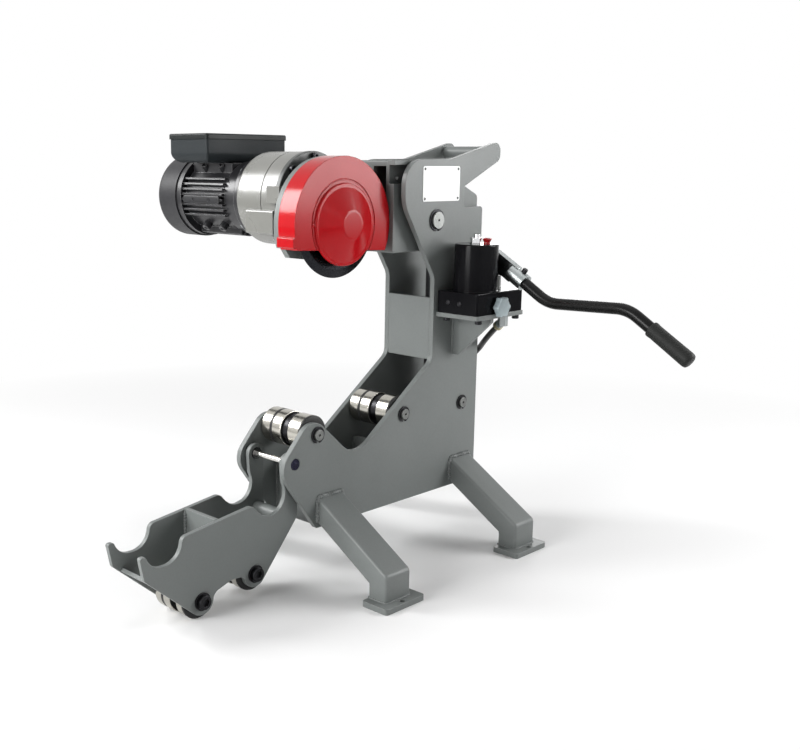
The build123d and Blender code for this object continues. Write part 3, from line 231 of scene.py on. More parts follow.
def makeTurningGroup(look):
    # tool marks: noise drawn out along the surface by unequal scales, and stains that follow them
    tree, given, result = newGroup(
        "toolMarks",
        [("Stretch", "v", (1, 1, 1)), ("RoughLow", "f", 0.2), ("RoughHigh", "f", 0.35),
         ("Colour", "c", (0.6, 0.6, 0.6, 1)), ("Shade", "c", (0.4, 0.4, 0.4, 1))],
        [("Colour", "c"), ("Roughness", "f"), ("Height", "f")],
    )
    place = objectPlace(tree)
    scaled = addNode(tree, "ShaderNodeVectorMath", operation="MULTIPLY")
    feed(tree, scaled.inputs[0], place)
    feed(tree, scaled.inputs[1], given["Stretch"])
    line = noiseAt(tree, scaled.outputs["Vector"], look["lineScale"], look["lineDetail"])
    gloss = remap(tree, line, look["lineBand"], given["RoughLow"], given["RoughHigh"])
    feed(tree, result["Roughness"], gloss)
    blotch = remap(tree, noiseAt(tree, place, look["stainScale"], look["stainDetail"]), look["stainBand"])
    stain = sums(tree, "MULTIPLY", blotch, remap(tree, line, look["lineBand"], look["leastStain"]))
    feed(tree, result["Colour"], mixColour(tree, stain, given["Colour"], given["Shade"]))
    feed(tree, result["Height"], line)
    return tree


coatingSkin = makeCoatingGroup(coatingNoise)
edgeRubAndSheen = makeEdgeGroup(edgeNoise)
toolMarks = makeTurningGroup(turningNoise)


# Finishes

bumpDepth = {"coating": 0.0004, "metal": 0.0002, "hose": 0.0003}


def rgba(colour):
    return (*colour, 1.0)


def placeGroup(tree, group, **values):
    node = addNode(tree, "ShaderNodeGroup", node_tree=group)
    for key, value in values.items():
        node.inputs[key].default_value = value
    return node


def newFinish(name):
    material = bpy.data.materials.new(name)
    material.use_nodes = True
    return material, material.node_tree, material.node_tree.nodes["Principled BSDF"]


def placeSurface(tree, shader, group, look, **values):
    # a surface group with the finish's tones, its gloss linked to the shader
    surface = placeGroup(tree, group, Colour=rgba(look["colour"]), Shade=rgba(look["shade"]),
                         RoughLow=look["rough"][0], RoughHigh=look["rough"][1], **values)
    feed(tree, shader.inputs["Roughness"], surface.outputs["Roughness"])
    return surface


def bumpFrom(tree, shader, height, strength, depth):
    bump = addNode(tree, "ShaderNodeBump")
    for label, given in (("Height", height), ("Strength", strength), ("Distance", depth)):
        feed(tree, bump.inputs[label], given)
    feed(tree, shader.inputs["Normal"], bump.outputs["Normal"])
    return bump


def wornAndSheenFinish(name, look, group, depth, **values):
    # a surface group under edges tinted lighter, partly rubbed wear and partly painted highlight, with the
    # edges rounded in the normal
    material, tree, shader = newFinish(name)
    surface = placeSurface(tree, shader, group, look, **values)
    edge = placeGroup(tree, edgeRubAndSheen, Width=look["edgeWidth"], Strength=look["edgeStrength"])
    wornAndSheen = mixColour(tree, edge.outputs["Mask"], surface.outputs["Colour"], rgba(look["edgeWearSheenColour"]))
    feed(tree, shader.inputs["Base Color"], wornAndSheen)
    bump = bumpFrom(tree, shader, surface.outputs["Height"], look["bump"], depth)
    feed(tree, bump.inputs["Normal"], edge.outputs["Normal"])
    return material, shader


def coatedFinish(name, look):
    # paint, rubber or moulded plastic: cloudy tone and a fine skin
    material, shader = wornAndSheenFinish(
        name, look, coatingSkin, bumpDepth["coating"], Cloud=look["cloud"], Skin=look["skin"])
    shader.inputs["Specular IOR Level"].default_value = look["specular"]
    return material


def metalFinish(name, look):
    # bare or plated metal: drawn-out tool marks and stains
    material, shader = wornAndSheenFinish(name, look, toolMarks, bumpDepth["metal"], Stretch=look["stretch"])
    shader.inputs["Metallic"].default_value = 1.0
    return material


# the edge colours in these finishes are partly rubbed wear and partly painted highlight on the cut edges
greyPaint = coatedFinish("greyPaint", {
    "colour": (0.164, 0.176, 0.172), "shade": (0.138, 0.150, 0.146), "cloud": 6.0, "skin": 650.0,
    "rough": (0.36, 0.48), "specular": 0.34, "bump": 0.05,
    "edgeWidth": 0.0015, "edgeStrength": 1.6, "edgeWearSheenColour": (0.50, 0.51, 0.49),
})
redEnamel = coatedFinish("redEnamel", {
    "colour": (0.43, 0.006, 0.010), "shade": (0.37, 0.005, 0.008), "cloud": 9.0, "skin": 420.0,
    "rough": (0.13, 0.2), "specular": 0.2, "bump": 0.02,
    "edgeWidth": 0.0015, "edgeStrength": 0.5, "edgeWearSheenColour": (0.75, 0.10, 0.09),
})
motorBlack = coatedFinish("motorBlack", {
    "colour": (0.018, 0.018, 0.020), "shade": (0.010, 0.010, 0.011), "cloud": 14.0, "skin": 520.0,
    "rough": (0.26, 0.36), "specular": 0.4, "bump": 0.10,
    "edgeWidth": 0.0012, "edgeStrength": 2.6, "edgeWearSheenColour": (0.42, 0.42, 0.43),
})
cowlBlack = coatedFinish("cowlBlack", {
    "colour": (0.034, 0.034, 0.036), "shade": (0.024, 0.024, 0.026), "cloud": 8.0, "skin": 480.0,
    "rough": (0.34, 0.46), "specular": 0.14, "bump": 0.07,
    "edgeWidth": 0.0012, "edgeStrength": 0.8, "edgeWearSheenColour": (0.12, 0.12, 0.12),
})
boxPlastic = coatedFinish("boxPlastic", {
    "colour": (0.022, 0.026, 0.028), "shade": (0.017, 0.020, 0.022), "cloud": 9.0, "skin": 900.0,
    "rough": (0.36, 0.5), "specular": 0.1, "bump": 0.08,
    "edgeWidth": 0.0012, "edgeStrength": 0.5, "edgeWearSheenColour": (0.10, 0.11, 0.11),
})
lidBlack = coatedFinish("lidBlack", {
    "colour": (0.012, 0.015, 0.015), "shade": (0.008, 0.010, 0.010), "cloud": 9.0, "skin": 900.0,
    "rough": (0.3, 0.42), "specular": 0.12, "bump": 0.06,
    "edgeWidth": 0.0012, "edgeStrength": 0.6, "edgeWearSheenColour": (0.07, 0.08, 0.08),
})
glossBlack = coatedFinish("glossBlack", {
    "colour": (0.004, 0.004, 0.005), "shade": (0.007, 0.007, 0.008), "cloud": 10.0, "skin": 300.0,
    "rough": (0.10, 0.17), "specular": 0.1, "bump": 0.015,
    "edgeWidth": 0.001, "edgeStrength": 0.4, "edgeWearSheenColour": (0.06, 0.06, 0.06),
})
leverBlack = coatedFinish("leverBlack", {
    "colour": (0.010, 0.010, 0.010), "shade": (0.006, 0.006, 0.006), "cloud": 16.0, "skin": 600.0,
    "rough": (0.2, 0.3), "specular": 0.12, "bump": 0.04,
    "edgeWidth": 0.001, "edgeStrength": 0.5, "edgeWearSheenColour": (0.08, 0.08, 0.08),
})
gripRubber = coatedFinish("gripRubber", {
    "colour": (0.012, 0.013, 0.012), "shade": (0.018, 0.019, 0.018), "cloud": 30.0, "skin": 1400.0,
    "rough": (0.5, 0.66), "specular": 0.2, "bump": 0.16,
    "edgeWidth": 0.001, "edgeStrength": 0.4, "edgeWearSheenColour": (0.05, 0.05, 0.05),
})
# dark rubber for the roller seals, also used for the cup and band that paint shade on the rollers
sealAndShadeBlack = coatedFinish("sealAndShadeBlack", {
    "colour": (0.010, 0.010, 0.010), "shade": (0.016, 0.016, 0.016), "cloud": 30.0, "skin": 900.0,
    "rough": (0.4, 0.55), "specular": 0.3, "bump": 0.08,
    "edgeWidth": 0.0005, "edgeStrength": 0.3, "edgeWearSheenColour": (0.05, 0.05, 0.05),
})
flangeIron = coatedFinish("flangeIron", {
    "colour": (0.035, 0.038, 0.036), "shade": (0.07, 0.075, 0.072), "cloud": 22.0, "skin": 420.0,
    "rough": (0.3, 0.5), "specular": 0.5, "bump": 0.12,
    "edgeWidth": 0.0014, "edgeStrength": 1.4, "edgeWearSheenColour": (0.3, 0.31, 0.30),
})
ramPaint = coatedFinish("ramPaint", {
    "colour": (0.030, 0.031, 0.032), "shade": (0.022, 0.023, 0.024), "cloud": 9.0, "skin": 520.0,
    "rough": (0.3, 0.42), "specular": 0.5, "bump": 0.06,
    "edgeWidth": 0.001, "edgeStrength": 0.8, "edgeWearSheenColour": (0.12, 0.12, 0.12),
})
whiteLacquer = coatedFinish("whiteLacquer", {
    "colour": (0.86, 0.86, 0.85), "shade": (0.80, 0.80, 0.79), "cloud": 12.0, "skin": 900.0,
    "rough": (0.28, 0.4), "specular": 0.5, "bump": 0.03,
    "edgeWidth": 0.0006, "edgeStrength": 0.4, "edgeWearSheenColour": (0.55, 0.55, 0.55),
})
capRed = coatedFinish("capRed", {
    "colour": (0.36, 0.006, 0.010), "shade": (0.26, 0.004, 0.007), "cloud": 30.0, "skin": 900.0,
    "rough": (0.2, 0.3), "specular": 0.5, "bump": 0.04,
    "edgeWidth": 0.0008, "edgeStrength": 0.4, "edgeWearSheenColour": (0.6, 0.08, 0.08),
})
knobGrey = coatedFinish("knobGrey", {
    "colour": (0.40, 0.47, 0.49), "shade": (0.30, 0.36, 0.38), "cloud": 28.0, "skin": 800.0,
    "rough": (0.26, 0.38), "specular": 0.5, "bump": 0.06,
    "edgeWidth": 0.0012, "edgeStrength": 0.8, "edgeWearSheenColour": (0.66, 0.70, 0.71),
})
castAlloy = coatedFinish("castAlloy", {
    "colour": (0.165, 0.165, 0.150), "shade": (0.14, 0.14, 0.128), "cloud": 12.0, "skin": 420.0,
    "rough": (0.24, 0.32), "specular": 1.0, "bump": 0.10,
    "edgeWidth": 0.0012, "edgeStrength": 1.0, "edgeWearSheenColour": (0.45, 0.45, 0.42),
})
# light edge tint on bare metal, partly wear and partly painted highlight
brightEdgeWearSheen = {"edgeWidth": 0.0005, "edgeStrength": 0.5, "edgeWearSheenColour": (0.85, 0.84, 0.82)}
rollerSteel = metalFinish("rollerSteel", {
    "colour": (0.47, 0.455, 0.41), "shade": (0.40, 0.385, 0.345), "stretch": (25, 1400, 25),
    "rough": (0.2, 0.25), "bump": 0.02, **brightEdgeWearSheen, "edgeStrength": 0.1,
})
pinSteel = metalFinish("pinSteel", {
    "colour": (0.56, 0.56, 0.54), "shade": (0.38, 0.38, 0.36), "stretch": (300, 900, 300),
    "rough": (0.24, 0.38), "bump": 0.06, **brightEdgeWearSheen,
})
shaftSteel = metalFinish("shaftSteel", {
    "colour": (0.17, 0.175, 0.17), "shade": (0.11, 0.115, 0.11), "stretch": (300, 900, 300),
    "rough": (0.3, 0.44), "bump": 0.08, **brightEdgeWearSheen,
})
zincPlate = metalFinish("zincPlate", {
    "colour": (0.36, 0.38, 0.38), "shade": (0.25, 0.28, 0.28), "stretch": (260, 260, 260),
    "rough": (0.26, 0.4), "bump": 0.08, **brightEdgeWearSheen,
})
chromePlate = metalFinish("chromePlate", {
    "colour": (0.86, 0.86, 0.87), "shade": (0.74, 0.74, 0.76), "stretch": (200, 200, 200),
    "rough": (0.05, 0.1), "bump": 0.02, **brightEdgeWearSheen,
})
bladeBlack = metalFinish("bladeBlack", {
    "colour": (0.022, 0.023, 0.026), "shade": (0.012, 0.012, 0.014), "stretch": (240, 900, 240),
    "rough": (0.24, 0.36), "bump": 0.02,
    "edgeWidth": 0.0008, "edgeStrength": 0.8, "edgeWearSheenColour": (0.12, 0.12, 0.13),
})
blackOxide = metalFinish("blackOxide", {
    "colour": (0.030, 0.030, 0.032), "shade": (0.016, 0.016, 0.018), "stretch": (500, 500, 500),
    "rough": (0.28, 0.42), "bump": 0.08,
    "edgeWidth": 0.0006, "edgeStrength": 1.2, "edgeWearSheenColour": (0.16, 0.16, 0.165),
})
ferruleBrass = metalFinish("ferruleBrass", {
    "colour": (0.42, 0.38, 0.26), "shade": (0.26, 0.23, 0.15), "stretch": (400, 400, 400),
    "rough": (0.28, 0.4), "bump": 0.06, **brightEdgeWearSheen,
})
statorLaminations = metalFinish("statorLaminations", {
    "colour": (0.30, 0.24, 0.18), "shade": (0.16, 0.12, 0.09), "stretch": (40, 2200, 40),
    "rough": (0.4, 0.55), "bump": 0.2, **brightEdgeWearSheen,
})
print("finishes made")


# Surfaces from arrays: each shape is a pair of points and faces, in metres

meshCare = {"mergeGap": 0.000004, "mostHoleSides": 200, "smoothAngle": 40.0}


def gridFaces(points):
    # quads between neighbouring rows of a rows x columns x 3 grid, its last column joined to the first
    index = np.arange(points.shape[0] * points.shape[1]).reshape(points.shape[:2])
    index = np.hstack([index, index[:, :1]])
    quads = np.stack([index[:-1, :-1], index[1:, :-1], index[1:, 1:], index[:-1, 1:]], -1).reshape(-1, 4)
    return points.reshape(-1, 3), quads


def sideways(axis, upright=0.9):
    # the unit axis and two unit vectors square to it, from Z, or from X where the axis is near upright
    axis = np.asarray(axis, float) / np.linalg.norm(axis)
    helper = np.array([0.0, 0.0, 1.0]) if abs(axis[2]) < upright else np.array([1.0, 0.0, 0.0])
    first = np.cross(helper, axis)
    first /= np.linalg.norm(first)
    return axis, first, np.cross(axis, first)


def ringAbout(first, second, steps):
    # unit circle in the plane of two vectors
    angle = np.linspace(0, 2 * np.pi, steps, endpoint=False)
    return np.cos(angle)[:, None] * first + np.sin(angle)[:, None] * second


def turned(profile, centre, axis, steps):
    # profile rows of (radius, distance along the axis), spun once about the axis
    profile = np.asarray(profile, float)
    axis, first, second = sideways(axis)
    ring = ringAbout(first, second, steps)
    points = np.asarray(centre, float) + profile[:, None, 1:2] * axis + profile[:, None, 0:1] * ring[None]
    return gridFaces(points)


def turnedInMm(profile, centre, axis, steps):
    # the same from sizes in mm
    return turned(np.array(profile) * mm, np.array(centre) * mm, axis, steps)


def roundedOutline(halfWide, halfHigh, radius, perCorner=6):
    # closed rectangle outline with quarter-circle corners, counter-clockwise
    angle = np.linspace(0, np.pi / 2, perCorner)
    arc = np.stack([np.cos(angle), np.sin(angle)], -1) * radius
    corners = []
    for quarter, (sx, sy) in enumerate(((1, 1), (-1, 1), (-1, -1), (1, -1))):
        spin = quarter * np.pi / 2
        turn = np.array([[np.cos(spin), np.sin(spin)], [-np.sin(spin), np.cos(spin)]])
        corners.append(arc @ turn + np.array([sx * (halfWide - radius), sy * (halfHigh - radius)]))
    return np.vstack(corners)


def domeRows(radius, height, steps=6):
    # quarter ellipse from the rim to the crown
    angle = np.linspace(0, np.pi / 2, steps)
    return np.stack([radius * np.cos(angle), height * np.sin(angle)], -1)


def putMesh(shape, mesh, smooth):
    # smooth shading, with edges sharper than the angle left crisp
    shape.to_mesh(mesh)
    shape.free()
    mesh.shade_smooth()
    mesh.set_sharp_from_angle(angle=math.radians(smooth))


def makePiece(name, shapes, material, body, replaced=(), smooth=meshCare["smoothAngle"]):
    # the shapes as one mesh, merged, closed and facing outwards
    points, faces, base = [], [], 0
    for shapePoints, shapeFaces in shapes:
        points.append(shapePoints)
        faces.append(shapeFaces + base)
        base += len(shapePoints)
    mesh = bpy.data.meshes.new(name)
    mesh.from_pydata(np.vstack(points).tolist(), [], np.vstack(faces).tolist())
    shape = bmesh.new()
    shape.from_mesh(mesh)
    bmesh.ops.remove_doubles(shape, verts=shape.verts, dist=meshCare["mergeGap"])
    bmesh.ops.holes_fill(shape, edges=shape.edges, sides=meshCare["mostHoleSides"])
    bmesh.ops.recalc_face_normals(shape, faces=shape.faces)
    putMesh(shape, mesh, smooth)
    addPiece(name, mesh, material, body, replaced)


def addPiece(name, mesh, material, body, replaced=()):
    # an object at the origin that moves with its body and stands for the nodes it replaces
    mesh.materials.append(material)
    piece = bpy.data.objects.new(name, mesh)
    scene.collection.objects.link(piece)
    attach(piece, body)
    if replaced:
        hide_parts(*replaced)
    return piece


def dress(material, *nodeNames):
    # CAD nodes that keep their shape and take a finish
    for nodeName in nodeNames:
        nodes[nodeName].data.materials.clear()
        nodes[nodeName].data.materials.append(material)


def boxInMm(nodeName):
    # lowest corner, highest corner and middle of a node at rest
    low, high = (np.array(corner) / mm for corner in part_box(nodeName))
    return low, high, (low + high) / 2


# Plates, webs and feet with their cut edges rounded, each by its own width in mm

platework = {
    "side_plate_near": ("sidePlateNear", 1.2),
    "side_plate_far": ("sidePlateFar", 1.2),
    "column_front_panel": ("columnFrontPanel", 0.8),
    "base_plates": ("basePlates", 0.8),
    "foot_plates": ("footPlates", 2.4),
    "cradle_plate_near": ("cradlePlateNear", 1.2),
    "cradle_plate_far": ("cradlePlateFar", 1.2),
    "cradle_crosspieces": ("cradleCrosspieces", 0.6),
    "swing_arm": ("swingArm", 0.8),
    "pump_bracket": ("pumpBracket", 1.0),
}
cutEdges = {
    "mergeGap": 0.000002, "flatAngle": 0.4, "sharpAngle": 40, "steps": 2, "profile": 0.5, "mostSides": 4,
    "smoothAngle": 50, "flatWeight": 80,
}


def sortFaces(shape):
    # by each face's three lowest vertex numbers, so that every run gives the same order
    shape.verts.index_update()
    count = len(shape.verts)

    def rank(face):
        first, second, third = sorted(v.index for v in face.verts)[:3]
        return (first * count + second) * count + third

    shape.faces.sort(key=rank)


def softened(nodeName, name, width, look):
    # a merged copy of a CAD node whose sharp edges are rounded off
    source = nodes[nodeName]
    shape = bmesh.new()
    shape.from_mesh(source.data)
    bmesh.ops.remove_doubles(shape, verts=shape.verts, dist=look["mergeGap"])
    flat, sharp = math.radians(look["flatAngle"]), math.radians(look["sharpAngle"])
    bmesh.ops.dissolve_limit(shape, angle_limit=flat, verts=shape.verts, edges=shape.edges)
    corners = [e for e in shape.edges if e.is_manifold and e.calc_face_angle(0) > sharp]
    bmesh.ops.bevel(shape, geom=corners, offset=width, offset_type="OFFSET", segments=look["steps"],
                    profile=look["profile"], affect="EDGES", clamp_overlap=True)
    bmesh.ops.triangulate(shape, faces=[f for f in shape.faces if len(f.verts) > look["mostSides"]])
    sortFaces(shape)
    mesh = bpy.data.meshes.new(name)
    putMesh(shape, mesh, look["smoothAngle"])
    piece = addPiece(name, mesh, greyPaint, source["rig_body"], (nodeName,))
    flatten = piece.modifiers.new("flatFaces", "WEIGHTED_NORMAL")
    flatten.keep_sharp = True
    flatten.weight = look["flatWeight"]


for nodeName, (pieceName, edgeRound) in platework.items():
    softened(nodeName, pieceName, edgeRound * mm, cutEdges)
dress(greyPaint, "carry_bar")
print("platework rounded")


# Legs: rectangular tube, mitred at the bend, in mm

legTube = {
    "spacing": 358, "wide": 60, "deep": 40, "corner": 5, "cornerSteps": 7, "plateFace": 60, "rootTop": 154,
    "outerFace": 220, "slope": 31.5, "footTop": 10, "bendSoft": 5, "bendIn": 0.16, "bendFold": 0.10,
}


def legShape(tube, x, side):
    # rings of a rounded rectangle cut by the plate face, the bend's mitre plane and the foot
    slope = math.radians(tube["slope"])
    ring = roundedOutline(tube["wide"] / 2, tube["deep"] / 2, tube["corner"], tube["cornerSteps"])
    across, thick = ring[:, 0], ring[:, 1]
    axisRoot = tube["rootTop"] - tube["deep"] / 2 / math.cos(slope)
    axisFoot = tube["outerFace"] - tube["deep"] / 2
    rootZ = axisRoot + thick / math.cos(slope)
    bendY = axisFoot + thick
    bendZ = rootZ - (bendY - tube["plateFace"]) * math.tan(slope)
    soft = tube["bendSoft"]
    levels = [
        (np.full_like(thick, tube["plateFace"]), rootZ),
        (bendY - soft * math.cos(slope), bendZ + soft * math.sin(slope)),
        (bendY - tube["bendIn"] * soft, bendZ - tube["bendFold"] * soft * np.sign(thick)),
        (bendY, bendZ - soft),
        (bendY, np.full_like(thick, tube["footTop"])),
    ]
    points = np.array([np.stack([x + across, side * y, z], -1) for y, z in levels]) * mm
    return gridFaces(points)


legPlaces = [(sx * legTube["spacing"] / 2, sy) for sx in (-1, 1) for sy in (-1, 1)]
legShapes = [legShape(legTube, x, side) for x, side in legPlaces]
makePiece("legs", legShapes, greyPaint, "frame", ("legs",))


# Weld beads along the seams of legs, frame and cradle, in mm

weldLook = {
    "frameRadius": 2.6, "footRadius": 2.2, "rootRadius": 4.2, "cradleRadius": 3.6, "sides": 10,
    "pitch": 5.0, "stepsPerPitch": 6, "leastSteps": 12, "ripple": 0.16, "beat": 0.06, "beatTurn": 7.3,
    "endPower": 12,
}


def bead(start, end, radius, look):
    # a round carried from start to end, swelling by two sines of nearly one pitch, closed at both ends
    start, end, pitch = np.array(start) * mm, np.array(end) * mm, look["pitch"] * mm
    length = np.linalg.norm(end - start)
    along = np.linspace(0, length, max(look["leastSteps"], int(length / pitch * look["stepsPerPitch"])))
    axis, first, second = sideways(end - start)
    ripple = look["ripple"] * np.sin(2 * np.pi * along / pitch)
    beat = look["beat"] * np.sin(look["beatTurn"] * along / pitch)
    swell = radius * mm * (1 + ripple + beat)
    swell *= np.sqrt(np.clip(1 - np.abs(2 * along / length - 1) ** look["endPower"], 0, 1))
    ring = ringAbout(first, second, look["sides"])
    points = start + along[:, None, None] * axis + swell[:, None, None] * ring[None]
    return gridFaces(points)


def beads(lines, radiusName):
    # one bead for each seam's two end points
    return [bead(start, end, weldLook[radiusName], weldLook) for start, end in lines]


legSeams = {"rootLow": 108, "rootPast": 1, "footShort": 1}
footLines, rootLines = [], []
for x, side in legPlaces:
    half = legTube["wide"] / 2
    reach = half + legSeams["rootPast"]
    face, top, low = side * legTube["plateFace"], legTube["rootTop"], legSeams["rootLow"]
    rootLines += [((x - reach, face, top), (x + reach, face, top))]
    rootLines += [((x + dx, face, top), (x + dx, face, low)) for dx in (-half, half)]
    inner, outer = side * (legTube["outerFace"] - legTube["deep"]), side * legTube["outerFace"]
    foot, reach = legTube["footTop"], half - legSeams["footShort"]
    footLines += [((x + dx, inner, foot), (x + dx, outer, foot)) for dx in (-half, half)]
    footLines += [((x - reach, y, foot), (x + reach, y, foot)) for y in (inner, outer)]
legBeads = beads(footLines, "footRadius") + beads(rootLines, "rootRadius")
makePiece("legWelds", legBeads, greyPaint, "frame")

frameSeams = {
    "inside": 50, "webLow": 108, "webFaces": ((-202, 198), (-6, 203), (2, 203)),  # x and top of each face
    "outside": -60, "shelfFaces": (444, 436), "shelfSpan": (97, 224),
    "gussetFaces": (146, 154), "gussetSpan": (434, 361),
}
frameLines = []
for inside in (-frameSeams["inside"], frameSeams["inside"]):
    frameLines += [((x, inside, frameSeams["webLow"]), (x, inside, top)) for x, top in frameSeams["webFaces"]]
bracketY = frameSeams["outside"]
frameLines += [[(x, bracketY, z) for x in frameSeams["shelfSpan"]] for z in frameSeams["shelfFaces"]]
frameLines += [[(x, bracketY, z) for z in frameSeams["gussetSpan"]] for x in frameSeams["gussetFaces"]]
makePiece("frameWelds", beads(frameLines, "frameRadius"), greyPaint, "frame")

cradleSeams = {"inside": 38.2, "webFaces": (-416, -408), "webSpan": (78, 156)}
cradleLines = []
for inside in (-cradleSeams["inside"], cradleSeams["inside"]):
    cradleLines += [[(x, inside, z) for z in cradleSeams["webSpan"]] for x in cradleSeams["webFaces"]]
makePiece("cradleWelds", beads(cradleLines, "cradleRadius"), greyPaint, "cradle")
print("legs and welds made")


# Rollers: dark seals in the ring ends, a dark cup over the near end that is partly seal and partly painted
# shade, and a dark band in the groove that is painted shade, in mm

rollerSeal = {
    "inner": 14.5, "outer": 29.6, "proud": 0.4, "lipRise": 0.6, "lipWide": 3, "rimWide": 2, "dish": 1,
    "bladeGap": (-17.5, -0.5), "steps": 64,
}
rollerShadeCup = {
    "radius": 31.06, "wide": 5.0, "wall": 2, "soft": 0.3, "softRise": 0.4, "lipSlope": 2, "proud": 0.3,
    "shoulder": ((0, -1.2), (0.5, -0.2), (1.4, 0.3)), "steps": 80,
}
grooveShadeBand = {"radius": 31.06, "half": 3.4, "depth": 4, "soft": 0.3, "steps": 80}
rollerSets = {
    "front_rollers": ("frontRollerSealsAndShade", "front_roller_set", 48.0),
    "rear_rollers": ("rearRollerSealsAndShade", "rear_roller_set", 48.0),
    "cradle_front_rollers": ("cradleFrontRollerSealsAndShade", "cradle_front_roller_set", 36.7),
    "cradle_rear_rollers": ("cradleRearRollerSealsAndShade", "cradle_rear_roller_set", 36.7),
}


def sealShape(seal, x, z, y, out):
    # dished annulus standing a little proud of the ring's end
    inner, outer, proud, dish = seal["inner"], seal["outer"], seal["proud"], seal["dish"]
    lip, rim = inner + seal["lipWide"], outer - seal["rimWide"]
    rows = [(inner, 0), (inner + seal["lipRise"], proud), (lip, proud), (lip + dish, proud / 2),
            (rim, proud / 2), (rim + dish, proud), (outer, 0)]
    return turnedInMm(rows, (x, y, z), (0, out, 0), seal["steps"])


def shadeCupShape(cup, lip, x, z, end):
    # rim flush with the ring, rounded over, down to the seal's lip: a dark cover that paints the near end's
    # shade over its seal
    r, wide = cup["radius"], cup["wide"]
    rows = [(r - cup["wall"], -wide), (r - cup["soft"], -wide), (r, cup["softRise"] - wide)]
    rows += [(r - inset, along) for inset, along in cup["shoulder"]]
    rows += [(lip + cup["lipSlope"], cup["proud"]), (lip, 0)]
    return turnedInMm(rows, (x, -end, z), (0, -1, 0), cup["steps"])


def grooveShadeShape(band, x, z, y):
    # flat dark band with softened corners that fills the groove between two rings: painted shade in the gap
    r, half, soft = band["radius"], band["half"], band["soft"]
    rows = [(r - band["depth"], -half), (r - soft, -half), (r, soft - half)]
    rows += [(radius, -along) for radius, along in rows[::-1]]
    return turnedInMm(rows, (x, y, z), (0, 1, 0), band["steps"])


for nodeName, (pieceName, body, end) in rollerSets.items():
    x, _, z = boxInMm(nodeName)[2]
    gapNear, gapFar = rollerSeal["bladeGap"]
    shapes = [sealShape(rollerSeal, x, z, y, out) for y, out in ((end, 1), (gapNear, 1), (gapFar, -1))]
    shapes += [shadeCupShape(rollerShadeCup, rollerSeal["inner"], x, z, end)]
    shapes += [grooveShadeShape(grooveShadeBand, x, z, (end + gapFar) / 2)]
    makePiece(pieceName, shapes, sealAndShadeBlack, body)
dress(rollerSteel, *rollerSets)
dress(pinSteel, "ram_top_pin", "spindle", "layshaft", "spindle_gear", "motor_rotor", "ram_rod",
      "head_bearings")
dress(shaftSteel, "cross_shafts", "pivot_pin", "pump_piston")
dress(blackOxide, "circlips", "frame_spacers", "cradle_bolts", "cradle_nuts", "pump_bolts", "head_bolts",
      "lever_screw", "blade_clamp")
dress(bladeBlack, "cutter_blade")


# Hinge pin: bright between the plates, dark at its ends in the plates

hingeLook = {
    "colour": (0.70, 0.69, 0.66), "shade": (0.5, 0.49, 0.46), "endColour": (0.02, 0.02, 0.035),
    "rough": (0.16, 0.26), "stretch": (60, 900, 60), "bump": 0.05, "brightHalf": 0.0355, "fade": 0.001,
}
hingeEnd = {
    "profile": ((9.7, 0), (9.7, 0.9), (9.2, 1.4), (7.2, 1.4), (6.4, 0.5), (4.8, 0.5), (3.4, 1.1), (0, 1.5)),
    "centre": (-261, 222), "face": 58, "steps": 48,  # in mm, as its profile is
}


def hingeFinish(look):
    # tool marks, darkened past the bright half length
    material, tree, shader = newFinish("hingeSteel")
    marks = placeSurface(tree, shader, toolMarks, look, Stretch=look["stretch"])
    split = addNode(tree, "ShaderNodeSeparateXYZ")
    feed(tree, split.inputs[0], objectPlace(tree))
    far = sums(tree, "ABSOLUTE", split.outputs["Y"])
    end = remap(tree, far, (look["brightHalf"], look["brightHalf"] + look["fade"]))
    tone = mixColour(tree, end, marks.outputs["Colour"], rgba(look["endColour"]))
    feed(tree, shader.inputs["Base Color"], tone)
    bumpFrom(tree, shader, marks.outputs["Height"], look["bump"], bumpDepth["metal"])
    shader.inputs["Metallic"].default_value = 1.0
    return material


hingeSteel = hingeFinish(hingeLook)
dress(hingeSteel, "cradle_hinge_pin")
hingeX, hingeZ = hingeEnd["centre"]
hingeEnds = []
for side in (-1, 1):
    place = (hingeX, side * hingeEnd["face"], hingeZ)
    hingeEnds.append(turnedInMm(hingeEnd["profile"], place, (0, side, 0), hingeEnd["steps"]))
makePiece("hingePinPlugs", hingeEnds, hingeSteel, nodes["cradle_hinge_pin"]["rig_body"])
print("rollers and pins finished")


# Cutting head, its small pieces in metres

dress(redEnamel, "blade_guard")
dress(castAlloy, "gearbox_housing")
dress(flangeIron, "gearbox_flange")
dress(motorBlack, "motor_body", "motor_end_shield")
dress(cowlBlack, "fan_cowl")
dress(boxPlastic, "capacitor_box", "cable_gland", "cooling_fan")
dress(lidBlack, "capacitor_lid")
dress(statorLaminations, "motor_stator")

guardRivet = {
    "places": ((-0.193, 0.612), (-0.0475, 0.609)), "face": -0.030,
    "radius": 0.0034, "height": 0.0016, "steps": 20,
}
guardRivetRows = domeRows(guardRivet["radius"], guardRivet["height"])
guardRivets = [turned(guardRivetRows, (x, guardRivet["face"], z), (0, -1, 0), guardRivet["steps"])
               for x, z in guardRivet["places"]]
makePiece("guardRivets", guardRivets, redEnamel, "head")

motorLug = {
    "axis": (-0.119, 0.650), "core": 0.060, "sunk": 0.004, "top": 0.075, "radius": 0.0075, "flare": 0.0006,
    "soft": 0.001, "hole": 0.0036, "holeSoft": 0.0006, "holeDepth": 0.008, "holePoint": 0.009,
    "along": (0.240, 0.288), "angles": (128, 232, 308), "steps": 24,
}


